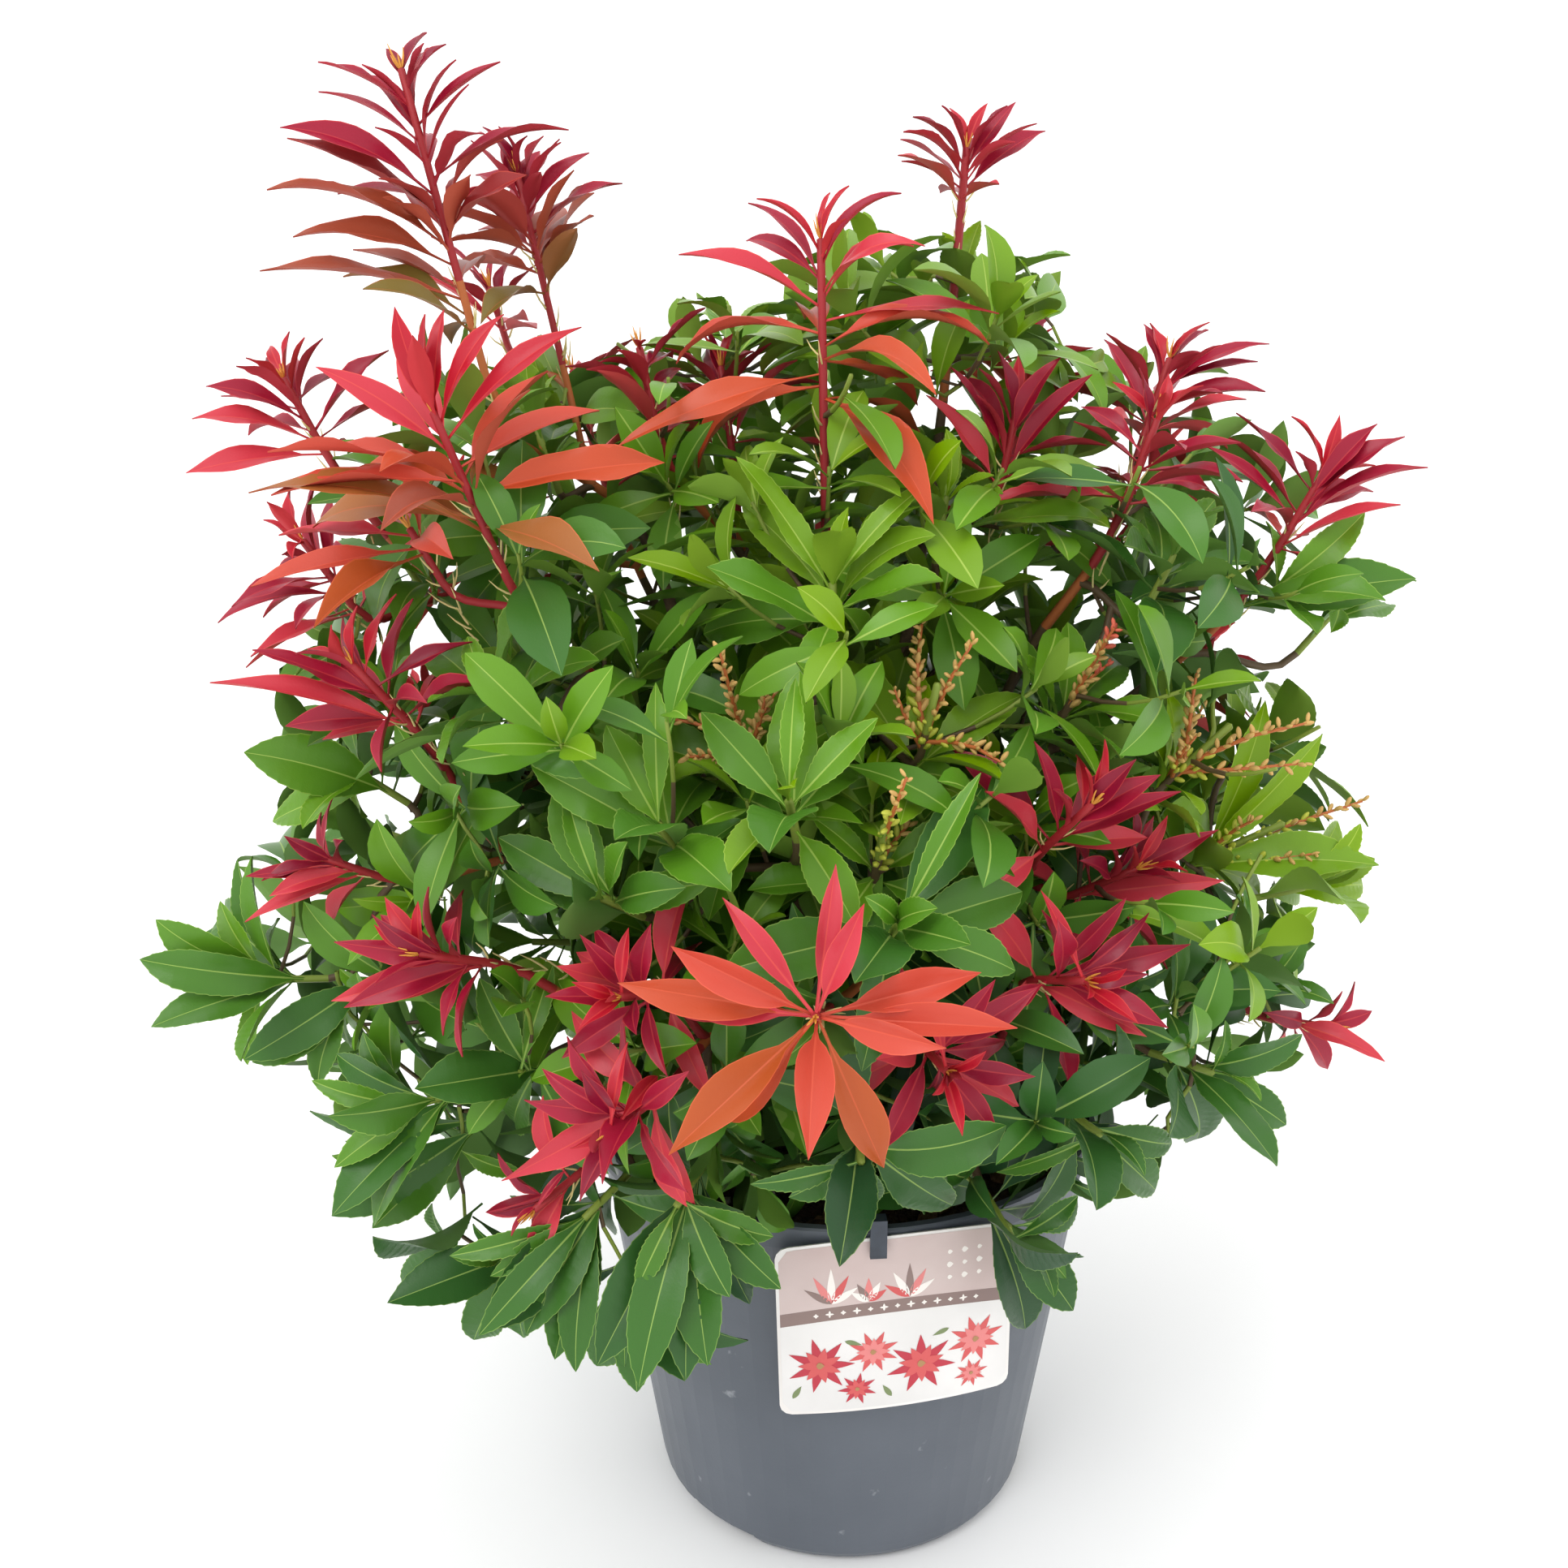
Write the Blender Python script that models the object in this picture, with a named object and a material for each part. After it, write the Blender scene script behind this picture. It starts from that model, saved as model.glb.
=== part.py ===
"""A pieris shrub with red spring growth, in a round nursery pot with a card label clipped to its rim.

Units are metres and +Z is up. The origin is the middle of the pot's flat underside, and the label
faces -Y. A short trunk stands on the compost. Boughs leave the trunk or another bough, and each one
ends where it enters its own mass of foliage: a stem, twigs that branch from it, and leaves in whorls
at the twigs' tips, all fused into one solid. Neighbouring solids keep a small gap between them.
"""

import math
import random
from typing import NamedTuple

import bmesh
import bpy
from mathutils import Matrix, Vector
from mathutils.bvhtree import BVHTree

SEED = 11
UP = Vector((0, 0, 1))

GAP = 0.0003  # between neighbouring solids that touch in the real plant
CLEARANCE = 0.0008  # between a leaf or twig and anything outside its own mass

# The pot: a moulded 10 litre container.
POT_HEIGHT = 0.228
POT_RIM_RADIUS = 0.140
POT_BASE_RADIUS = 0.104
POT_WALL = 0.002
POT_SIDES = 54
RIM_HEIGHT = 0.012
RIM_OVERHANG = 0.0028
FOOT_ROUND = 0.013  # radius of the rounded edge between wall and underside
FLOOR_THICKNESS = 0.013
FLOOR_CHAMFER = 0.020  # the thicker corner inside, between floor and wall
NOTCH_COUNT = 3
NOTCH_HEIGHT = 0.009
NOTCH_DEPTH = 0.020
NOTCH_HALF_ANGLE = 15.0
NOTCH_FIRST_ANGLE = -130.7  # degrees round from +X

# The compost fills the pot to a little under its rim.
COMPOST_LEVEL = 0.205
COMPOST_FALL = 0.006  # how much lower it lies at the wall
COMPOST_FLAT_RADIUS = 0.045

# The stiff card label hangs outside the rim, bent a little and leaning along the wall.
LABEL_WIDTH = 0.117
LABEL_HEIGHT = 0.100
LABEL_THICKNESS = 0.0008
LABEL_CORNER = 0.006
LABEL_ANGLE = -81.5  # degrees round from +X to its middle
LABEL_TOP = 0.222
LABEL_TILT = -2.0  # degrees, its right side higher
LABEL_LEAN = 5.0  # degrees, its foot inwards; it rests on the rim's lower edge
LABEL_BEND = 0.300  # radius that it is bent to
LABEL_CROWN = 0.004  # rise of its top edge's middle
LABEL_COLUMNS = 14
CLIP_ANGLE = -85.4
CLIP_WIDTH = 0.008
CLIP_THICKNESS = 0.0022
CLIP_ROOM = 0.0028  # from the rim to its front leg, less the card
CLIP_DROP = 0.012  # how far its front leg reaches down over the label
CLIP_HEAD = 0.006  # height of its knob over the rim
RIM_LIP = 0.001  # chamfer of the rim's top edge

# The trunk and the boughs.
TRUNK_TOP = Vector((0.006, 0.004, 0.315))
TRUNK_RADII = (  # share of its length, radius
    (0.0, 0.0175), (0.07, 0.0135), (0.20, 0.0110), (1.0, 0.0085))
TRUNK_SIDES = 10
LIMB_SIDES = 6
LIMB_STEPS = 4
MAIN_BOUGH_RADIUS = 0.0052
SIDE_BOUGH_RADIUS = 0.0040
BOUGH_TIP_RADIUS = 0.0029
CROWN_HEART = Vector((0.0, 0.0, 0.33))  # inner middle of the crown, which shoots grow away from
TRUNK_FORKS = (0.35, 0.95)  # where on the trunk boughs leave it, as shares of its length
BOUGH_FORKS = (0.35, 0.80)
LIMB_TRIES = 200
BOUGH_REACH = 0.56  # how far from the heart to the middle of its mass a bough ends
BOUGH_END_RISE = 0.25  # upward turn of a bough where it enters its mass
BOUGH_FOLLOW = 0.7  # how much a bough keeps to its carrier's direction as it leaves
BOUGH_BEND = 0.4  # widest random turn of a bough's start
LIMB_START = 0.5  # where a bough's middle line starts, in radii of its carrier from the carrier's own
CURVE_REACH = 0.38  # share of its span over which a limb holds its end directions

# Shoots grow away from the crown's heart, and more upright the higher they stand.
SHOOT_LEAST_RISE = 0.1
SHOOT_RISE = 2.4  # per metre over SHOOT_RISE_FROM
SHOOT_RISE_FROM = 0.30
SHOOT_BARE = 0.012  # bare stem under a shoot's lowest leaf

# Twigs and leaves.
TWIG_RADIUS = 0.0025
SHOOT_RADIUS = 0.0019
TWIG_STEPS = 2
TWIG_SIDES = 3
TWIG_PLACES = (0.15, 0.3, 0.45, 0.6, 0.75, 0.9)  # shares of a twig where another may leave it
TWIG_TRIES = 40
TRIES_AT_PLACE = 4
TWIG_FOLLOW = 0.4
TWIG_BEND = 0.35
TURN_COST = 0.6  # how much further off a place counts where the twig would have to turn
TWIG_TAPER = 0.92  # of the twig that it leaves
STEM_TAPER = 0.95  # of the bough that it runs on from
GOLDEN_ANGLE = math.radians(137.5)
TIP_COVER = 0.003  # how far under a twig's tip its topmost leaf is rooted
ROOT_SINK = 0.0004  # how far past its twig's middle line a leaf is sunk
BLADE_SHARE = 0.80  # outer share of a leaf that crosses no other leaf
LEAF_WIDEST = 0.56  # share of its length where a leaf is widest
LEAF_ARCH = 0.07
LEAF_FOLD = 0.16  # rise of a leaf's edges over its midrib, as a share of its width
LEAF_THICKNESS = 0.022  # share of its length
TOP_LEAF_SHRINK = 0.30  # how much shorter a shoot's topmost leaf is
LEAF_SIZES = (0.90, 1.08)
SPREAD_EASE = 1.2  # how the leaves' spread closes up towards the shoot's tip
SPREAD_JITTER = 7.0  # degrees
LEAST_SPREAD = 12.0
LEAF_TRIES = (  # share of its length, degrees round its stem, degrees away from it, until it is clear
    (1, 0, 0), (1, 0, -14), (1, 0, 12), (0.95, 18, -8), (0.95, -18, -8), (0.90, 26, -22), (0.90, -26, -22),
    (0.80, 12, 16), (0.80, -12, -30), (0.75, 34, 0))

TWIG_LOWEST = 0.225  # no twig dips under this

# A flower head is a few slim spikes of buds.
SPIKES = 4
SPIKE_JITTER = 0.3
SPIKE_ZONE = 0.6  # share of the head's stem that carries spikes
SPIKE_SHAPE = ((0.0, 0.7), (0.5, 1.0), (1.0, 0.3))  # share of length, share of thickness

# Filling whorls: green ones that the seeded rule adds where the crown has room.
FILL_MIDDLE = Vector((-0.005, 0.0, 0.420))
FILL_RADII = Vector((0.220, 0.195, 0.230))
FILL_LOWEST = 0.245
FILL_SPACING = 0.098
FILL_SHELL = 0.80  # least depth of a filling whorl, as a share of the crown's radius
FILL_TRIES = 4000


class Kind(NamedTuple):
    """One kind of shoot: its leaves' count, length and width, and how they stand on it."""

    leaves: int
    length: float
    width: float  # share of length
    zone: float  # length of stem that carries the leaves
    low_spread: float  # degrees between the lowest leaf and the stem
    high_spread: float
    droop: float
    colour: str


KINDS = {
    "spire": Kind(12, 0.062, 0.30, 0.125, 86, 24, 0.10, "red"),
    "tower": Kind(10, 0.086, 0.30, 0.120, 104, 28, 0.20, "red"),
    "fan": Kind(10, 0.088, 0.32, 0.065, 96, 30, 0.10, "red"),
    "star": Kind(10, 0.077, 0.34, 0.016, 88, 46, 0.08, "red"),
    "crimson": Kind(6, 0.062, 0.37, 0.026, 84, 22, 0.06, "red"),
    "sprig": Kind(5, 0.045, 0.34, 0.018, 72, 24, 0.05, "red"),
    "green": Kind(6, 0.082, 0.48, 0.020, 90, 36, 0.06, "green"),
    "buds": Kind(0, 0.040, 0.11, 0.030, 55, 15, 0.0, "buds"),
}


class Mass(NamedTuple):
    """One mass of foliage: what carries its bough, and the tips of its leading shoots."""

    name: str
    carrier: str
    shoots: tuple  # of (kind, x, y, z)


MASSES = (
    Mass("centre_spire", "trunk", (
        ("tower", -0.015, -0.060, 0.695), ("green", -0.010, -0.100, 0.530),
        ("buds", -0.055, -0.125, 0.485), ("buds", 0.035, -0.125, 0.490))),
    Mass("left_spire", "trunk", (
        ("spire", -0.200, -0.030, 0.748), ("spire", -0.160, 0.030, 0.708),
        ("sprig", -0.185, 0.080, 0.655), ("green", -0.150, -0.015, 0.590))),
    Mass("left_fan", "trunk", (
        ("fan", -0.175, -0.130, 0.607), ("star", -0.195, -0.100, 0.555),
        ("green", -0.160, -0.130, 0.490))),
    Mass("front_heart", "trunk", (
        ("green", -0.030, -0.180, 0.455), ("green", -0.085, -0.165, 0.440),
        ("green", -0.110, -0.160, 0.405), ("green", 0.015, -0.190, 0.405))),
    Mass("right_shoulder", "trunk", (
        ("crimson", 0.140, -0.050, 0.596), ("crimson", 0.165, 0.040, 0.619),
        ("green", 0.150, -0.060, 0.535), ("buds", 0.115, -0.085, 0.500))),
    Mass("right_flank", "trunk", (
        ("crimson", 0.102, -0.140, 0.440), ("crimson", 0.132, -0.100, 0.395),
        ("green", 0.170, -0.120, 0.300), ("buds", 0.175, -0.085, 0.460))),
    Mass("back_left", "trunk", (
        ("crimson", -0.150, 0.130, 0.610), ("crimson", -0.210, 0.110, 0.540),
        ("green", -0.120, 0.165, 0.540))),
    Mass("back_right", "trunk", (
        ("crimson", 0.110, 0.140, 0.620), ("crimson", 0.180, 0.120, 0.560),
        ("green", 0.070, 0.175, 0.540))),
    Mass("left_shoulder", "left_spire", (
        ("crimson", -0.271, -0.020, 0.622), ("crimson", -0.254, -0.060, 0.544),
        ("green", -0.235, 0.020, 0.535))),
    Mass("left_flank", "left_fan", (
        ("crimson", -0.217, -0.130, 0.501), ("sprig", -0.247, -0.100, 0.403),
        ("green", -0.290, -0.075, 0.330), ("green", -0.235, -0.080, 0.440))),
    Mass("left_skirt", "left_fan", (
        ("crimson", -0.188, -0.170, 0.384), ("sprig", -0.146, -0.165, 0.256),
        ("green", -0.205, -0.130, 0.290), ("green", -0.125, -0.155, 0.245))),
    Mass("front_skirt", "front_heart", (
        ("crimson", -0.104, -0.220, 0.326), ("crimson", -0.100, -0.195, 0.375),
        ("green", -0.080, -0.185, 0.270))),
    Mass("front_star", "front_heart", (
        ("star", -0.020, -0.230, 0.382), ("crimson", 0.035, -0.205, 0.345),
        ("green", 0.000, -0.200, 0.300), ("buds", 0.010, -0.170, 0.440))),
    Mass("right_skirt", "right_flank", (
        ("green", 0.070, -0.175, 0.245), ("green", 0.110, -0.160, 0.290),
        ("crimson", 0.097, -0.170, 0.370))),
    Mass("right_tip", "right_flank", (
        ("sprig", 0.238, -0.080, 0.304), ("green", 0.225, -0.060, 0.370),
        ("buds", 0.215, -0.050, 0.400), ("green", 0.230, 0.000, 0.440))),
    Mass("right_point", "right_shoulder", (
        ("crimson", 0.226, -0.030, 0.570), ("green", 0.250, 0.000, 0.500))),
    Mass("top_right", "centre_spire", (
        ("crimson", 0.060, 0.040, 0.735), ("green", 0.060, 0.055, 0.655),
        ("crimson", 0.080, -0.020, 0.600), ("green", 0.045, -0.040, 0.560))),
    Mass("top_left", "centre_spire", (
        ("crimson", -0.099, -0.020, 0.628), ("crimson", -0.063, 0.040, 0.616),
        ("green", -0.060, 0.075, 0.645))),
    Mass("back_left_flank", "back_left", (
        ("crimson", -0.240, 0.100, 0.430), ("green", -0.260, 0.040, 0.370),
        ("green", -0.200, 0.150, 0.350))),
    Mass("back_heart", "back_right", (
        ("crimson", -0.020, 0.205, 0.500), ("green", -0.070, 0.190, 0.430),
        ("green", 0.040, 0.200, 0.420))),
    Mass("back_right_flank", "back_right", (
        ("crimson", 0.215, 0.130, 0.450), ("green", 0.240, 0.070, 0.390),
        ("green", 0.170, 0.170, 0.370))),
    Mass("back_left_skirt", "back_left", (
        ("crimson", -0.110, 0.205, 0.330), ("green", -0.165, 0.150, 0.270),
        ("green", -0.050, 0.190, 0.270))),
    Mass("back_right_skirt", "back_right", (
        ("crimson", 0.095, 0.205, 0.330), ("green", 0.150, 0.150, 0.270),
        ("green", 0.030, 0.190, 0.265))),
)

MATERIALS = {  # base colour, roughness
    "pot": ((0.155, 0.165, 0.180), 0.42),
    "compost": ((0.060, 0.038, 0.024), 0.95),
    "label": ((0.62, 0.55, 0.50), 0.35),
    "clip": ((0.03, 0.035, 0.045), 0.40),
    "bark": ((0.16, 0.10, 0.06), 0.85),
    "twig": ((0.25, 0.22, 0.07), 0.60),
    "green": ((0.045, 0.170, 0.030), 0.38),
    "red": ((0.480, 0.022, 0.030), 0.38),
    "buds": ((0.420, 0.230, 0.110), 0.60),
}
FOLIAGE = ("twig", "green", "red", "buds")  # the material slots of every mass


def clear_scene():
    for obj in list(bpy.data.objects):
        bpy.data.objects.remove(obj, do_unlink=True)


def material(name):
    """The named material, made on first use."""
    if name not in bpy.data.materials:
        made = bpy.data.materials.new(name)
        made.use_nodes = True
        shader = made.node_tree.nodes["Principled BSDF"]
        colour, roughness = MATERIALS[name]
        shader.inputs["Base Color"].default_value = (*colour, 1)
        shader.inputs["Roughness"].default_value = roughness
        shader.inputs["Metallic"].default_value = 0
    return bpy.data.materials[name]


def add_object(name, points, faces, slots, slot=0):
    """A mesh object in the scene, with its faces turned to point outwards."""
    mesh = bpy.data.meshes.new(name)
    mesh.from_pydata([tuple(p) for p in points], [], faces)
    for each in slots:
        mesh.materials.append(material(each))
    shape = bmesh.new()
    shape.from_mesh(mesh)
    bmesh.ops.recalc_face_normals(shape, faces=shape.faces)
    if shape.calc_volume(signed=True) < 0:
        bmesh.ops.reverse_faces(shape, faces=shape.faces)
    for face in shape.faces:
        face.material_index = slot
    shape.to_mesh(mesh)
    shape.free()
    obj = bpy.data.objects.new(name, mesh)
    bpy.context.scene.collection.objects.link(obj)
    return obj


def bake(obj):
    """Replaces the object's mesh by the one its modifiers make."""
    graph = bpy.context.evaluated_depsgraph_get()
    mesh = bpy.data.meshes.new_from_object(obj.evaluated_get(graph))
    obj.modifiers.clear()
    obj.data = mesh


def cut(obj, cutter, solver="EXACT"):
    """Cuts the cutter out of the object and removes the cutter."""
    modifier = obj.modifiers.new("cut", "BOOLEAN")
    modifier.operation = "DIFFERENCE"
    modifier.solver = solver
    modifier.object = cutter
    bake(obj)
    bpy.data.objects.remove(cutter, do_unlink=True)


def keep_one_body(mesh):
    """Deletes the sealed hollows and loose scraps that fusing leaves, so that one closed body stays."""
    shape = bmesh.new()
    shape.from_mesh(mesh)
    bmesh.ops.triangulate(shape, faces=shape.faces)
    left = set(shape.faces)
    bodies = []
    while left:
        body, edge_of = set(), [left.pop()]
        while edge_of:
            face = edge_of.pop()
            body.add(face)
            for edge in face.edges:
                for other in edge.link_faces if edge.is_manifold else ():
                    if other in left:
                        left.remove(other)
                        edge_of.append(other)
        bodies.append(body)
    main = max(bodies, key=len)
    spare = [face for body in bodies if body is not main for face in body]
    bmesh.ops.delete(shape, geom=spare, context="FACES")
    shape.to_mesh(mesh)
    shape.free()


def fuse(name, pieces):
    """One object from many closed pieces, given as (points, faces, slot), joined by a Boolean union."""
    made = [add_object(f"{name}_{i}", *piece[:2], FOLIAGE, piece[2]) for i, piece in enumerate(pieces)]
    others = bpy.data.collections.new("joined")
    bpy.context.scene.collection.children.link(others)
    for obj in made[1:]:
        bpy.context.scene.collection.objects.unlink(obj)
        others.objects.link(obj)
    modifier = made[0].modifiers.new("union", "BOOLEAN")
    modifier.operation = "UNION"
    modifier.solver = "MANIFOLD"
    modifier.operand_type = "COLLECTION"
    modifier.collection = others
    bake(made[0])
    for obj in made[1:]:
        bpy.data.objects.remove(obj, do_unlink=True)
    bpy.data.collections.remove(others)
    keep_one_body(made[0].data)
    made[0].name = made[0].data.name = name


# ---------------------------------------------------------------- plain solids


def ring_faces(rings, sides):
    """Quads between successive rings of points, with both ends closed."""
    faces = [tuple(range(sides))[::-1], tuple(range((rings - 1) * sides, rings * sides))]
    for i in range(rings - 1):
        for j in range(sides):
            k = (j + 1) % sides
            faces.append((i * sides + j, i * sides + k, (i + 1) * sides + k, (i + 1) * sides + j))
    return faces


def turned(name, profile, sides, slot):
    """A solid turned about Z from (radius, height) points that start and end on the axis."""
    points, faces = [Vector((0, 0, profile[0][1])), Vector((0, 0, profile[-1][1]))], []
    for radius, height in profile[1:-1]:
        for j in range(sides):
            angle = math.tau * j / sides
            points.append(Vector((radius * math.cos(angle), radius * math.sin(angle), height)))
    rings = len(profile) - 2
    last = 2 + (rings - 1) * sides
    for j in range(sides):
        k = (j + 1) % sides
        faces.append((0, 2 + k, 2 + j))
        faces.append((1, last + j, last + k))
        for i in range(rings - 1):
            low, high = 2 + i * sides, 2 + (i + 1) * sides
            faces.append((low + j, low + k, high + k, high + j))
    return add_object(name, points, faces, (slot,))


def wall_radius(height):
    """Outer radius of the pot's wall, under its rim, at a height."""
    top = POT_RIM_RADIUS - RIM_OVERHANG
    return POT_BASE_RADIUS + (top - POT_BASE_RADIUS) * height / POT_HEIGHT


def build_pot():
    """A tapering pot with a thickened rim, a rounded foot and shallow drainage notches round it."""
    arc = [math.radians(90 * i / 4) for i in range(5)]
    foot = [(wall_radius(FOOT_ROUND) - FOOT_ROUND * (1 - math.sin(a)), FOOT_ROUND * (1 - math.cos(a)))
            for a in arc]
    rim_foot = POT_HEIGHT - RIM_HEIGHT
    inner_top = POT_RIM_RADIUS - RIM_OVERHANG - POT_WALL
    corner = FLOOR_THICKNESS + FLOOR_CHAMFER
    profile = [(0, 0), *foot]
    profile += [(wall_radius(rim_foot - RIM_OVERHANG), rim_foot - RIM_OVERHANG)]
    profile += [(POT_RIM_RADIUS, rim_foot), (POT_RIM_RADIUS, POT_HEIGHT - RIM_LIP)]
    profile += [(POT_RIM_RADIUS - RIM_LIP, POT_HEIGHT), (inner_top, POT_HEIGHT)]
    profile += [(wall_radius(corner) - POT_WALL, corner)]
    profile += [(wall_radius(corner) - POT_WALL - FLOOR_CHAMFER, FLOOR_THICKNESS), (0, FLOOR_THICKNESS)]
    pot = turned("pot", profile, POT_SIDES, "pot")
    for i in range(NOTCH_COUNT):
        cut(pot, foot_notch(NOTCH_FIRST_ANGLE + 360 * i / NOTCH_COUNT), "MANIFOLD")
    return pot


def foot_notch(angle):
    """A cutter for one notch: a short arc of a ring, whose ends slope."""
    steps, below, outside = 6, 0.004, 0.004
    inner, outer = POT_BASE_RADIUS - NOTCH_DEPTH, POT_BASE_RADIUS + outside
    half_low, half_high = NOTCH_HALF_ANGLE + 3, NOTCH_HALF_ANGLE - 3
    points = []
    for i in range(steps + 1):
        along = 2 * i / steps - 1
        for radius, height, half in ((inner, -below, half_low), (outer, -below, half_low),
                                     (outer, NOTCH_HEIGHT, half_high), (inner, NOTCH_HEIGHT, half_high)):
            turn = math.radians(angle + along * half)
            points.append(Vector((radius * math.cos(turn), radius * math.sin(turn), height)))
    return add_object("notch", points, ring_faces(steps + 1, 4), ("pot",))


def build_compost():
    """The filling of the pot, flat round the trunk and a little lower at the wall."""
    edge = COMPOST_LEVEL - COMPOST_FALL
    corner = FLOOR_THICKNESS + FLOOR_CHAMFER
    inset = POT_WALL + 2 * GAP
    profile = [(0, FLOOR_THICKNESS + GAP)]
    profile += [(wall_radius(corner) - inset - FLOOR_CHAMFER, FLOOR_THICKNESS + GAP)]
    profile += [(wall_radius(corner) - inset, corner + GAP), (wall_radius(edge) - inset, edge)]
    profile += [(COMPOST_FLAT_RADIUS, COMPOST_LEVEL), (0, COMPOST_LEVEL)]
    return turned("compost", profile, POT_SIDES // 2, "compost")


def label_point(across, down, lift):
    """A point of the card: metres across from its middle and down from its top, lifted off the wall."""
    tilt = math.radians(LABEL_TILT)
    side = across * math.cos(tilt) - down * math.sin(tilt)
    drop = down * math.cos(tilt) + across * math.sin(tilt)
    lean = math.radians(LABEL_LEAN)
    height = LABEL_TOP - drop * math.cos(lean)
    reach = POT_RIM_RADIUS + (height - (POT_HEIGHT - RIM_HEIGHT)) * math.tan(lean)
    outward = Vector((math.cos(math.radians(LABEL_ANGLE)), math.sin(math.radians(LABEL_ANGLE)), 0))
    bend = side / LABEL_BEND
    way = outward * math.cos(bend) + UP.cross(outward) * math.sin(bend)
    return outward * (reach - LABEL_BEND) + way * (LABEL_BEND + lift) + UP * height


def build_label():
    """A thin card with rounded corners and a slightly arched top, hanging from the rim."""
    half, points = LABEL_WIDTH / 2, []
    inner = half - LABEL_CORNER
    turns = [math.radians(90 * i / 3) for i in range(3)]
    columns = [-inner - LABEL_CORNER * math.cos(a) for a in turns]
    columns += [inner * (2 * i / LABEL_COLUMNS - 1) for i in range(LABEL_COLUMNS + 1)]
    columns += [-x for x in reversed(columns[:3])]
    for across in columns:
        past = max(0.0, abs(across) - inner)
        trim = LABEL_CORNER - math.sqrt(max(0.0, LABEL_CORNER**2 - past**2))
        top = trim - LABEL_CROWN * (1 - (across / half) ** 2)
        foot = LABEL_HEIGHT - trim
        front = GAP + LABEL_THICKNESS
        for down, lift in ((top, GAP), (top, front), (foot, front), (foot, GAP)):
            points.append(label_point(across, down, lift))
    return add_object("label", points, ring_faces(len(columns), 4), ("label",))


def build_clip():
    """A small clip over the rim: a leg in front of the card, a leg inside the wall and a knob on top."""
    front = POT_RIM_RADIUS + LABEL_THICKNESS + CLIP_ROOM
    back = wall_radius(POT_HEIGHT - CLIP_DROP) - POT_WALL - 2 * GAP
    low, top = POT_HEIGHT + GAP - CLIP_DROP, POT_HEIGHT + GAP
    outer, inner, cap = front + CLIP_THICKNESS, back - CLIP_THICKNESS, top + CLIP_THICKNESS
    knob_back = outer - 3 * CLIP_THICKNESS
    outline = [(outer, low), (front, low), (front, top), (back, top), (back, low), (inner, low)]
    outline += [(inner, cap), (knob_back, cap), (knob_back, cap + CLIP_HEAD), (outer, cap + CLIP_HEAD)]
    half = CLIP_WIDTH / 2
    points = [Vector((radius, side * half, height)) for side in (-1, 1) for radius, height in outline]
    clip = add_object("label_clip", points, ring_faces(2, len(outline)), ("clip",))
    clip.data.transform(Matrix.Rotation(math.radians(CLIP_ANGLE), 4, "Z"))
    return clip


# ---------------------------------------------------------------- limbs and twigs


def curve_points(start, start_way, end, end_way, steps):
    """Points on a cubic curve that leaves start along start_way and reaches end along end_way."""
    reach = (end - start).length * CURVE_REACH
    a, b = start + start_way.normalized() * reach, end - end_way.normalized() * reach
    points = []
    for i in range(steps + 1):
        t = i / steps
        s = 1 - t
        points.append(s**3 * start + 3 * s * s * t * a + 3 * s * t * t * b + t**3 * end)
    return points


def tube(path, radii, sides, start_way):
    """A closed tapering tube, as (points, faces), whose flat first end lies across start_way."""
    points = []
    across = None
    for i, centre in enumerate(path):
        way = path[min(i + 1, len(path) - 1)] - path[max(i - 1, 0)]
        if i == 0:
            way = start_way
        way = way.normalized()
        if across is None:
            across = way.orthogonal().normalized()
        across = (across - way * across.dot(way)).normalized()
        other = way.cross(across)
        for j in range(sides):
            angle = math.tau * j / sides
            points.append(centre + radii[i] * (math.cos(angle) * across + math.sin(angle) * other))
    return points, ring_faces(len(path), sides)


class Limb(NamedTuple):
    """A trunk, bough or twig: the points of its middle line and the radius at each."""

    path: list
    radii: list
    sides: int
    start_way: Vector

    def solid(self, margin=0.0):
        """The limb as (points, faces), with its skin moved out by a margin."""
        return tube(self.path, [radius + margin for radius in self.radii], self.sides, self.start_way)

    def at(self, share):
        """Point, direction and radius at a share of its length."""
        place = share * (len(self.path) - 1)
        i = min(int(place), len(self.path) - 2)
        f = place - i
        point = self.path[i].lerp(self.path[i + 1], f)
        way = (self.path[i + 1] - self.path[i]).normalized()
        return point, way, self.radii[i] + (self.radii[i + 1] - self.radii[i]) * f


class Space:
    """The solids already placed, each under its owner's name, for telling whether a new one is clear."""

    def __init__(self):
        self.placed = []

    def add(self, owner, points, faces):
        low, high = extent(points)
        self.placed.append((owner, low, high, BVHTree.FromPolygons(points, faces)))

    def clear(self, points, faces, owners):
        """True where these faces cross no solid but those of the given owners."""
        low, high = extent(points)
        tree = None
        for owner, other_low, other_high, other in self.placed:
            apart = any(low[k] > other_high[k] or high[k] < other_low[k] for k in range(3))
            if apart or owner in owners:
                continue
            tree = tree or BVHTree.FromPolygons(points, faces)
            if tree.overlap(other):
                return False
        return True


def extent(points):
    low = [min(p[k] for p in points) for k in range(3)]
    return low, [max(p[k] for p in points) for k in range(3)]


def mesh_shape(obj):
    return [v.co.copy() for v in obj.data.vertices], [tuple(f.vertices) for f in obj.data.polygons]


def build_trunk():
    """A short leaning trunk that flares to a flat foot on the compost."""
    foot = Vector((0, 0, COMPOST_LEVEL + GAP))
    path = [foot.lerp(TRUNK_TOP, share) for share, _ in TRUNK_RADII]
    radii = [radius for _, radius in TRUNK_RADII]
    trunk = Limb(path, radii, TRUNK_SIDES, UP)
    add_object("trunk", *trunk.solid(), ("bark",))
    return trunk


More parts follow.
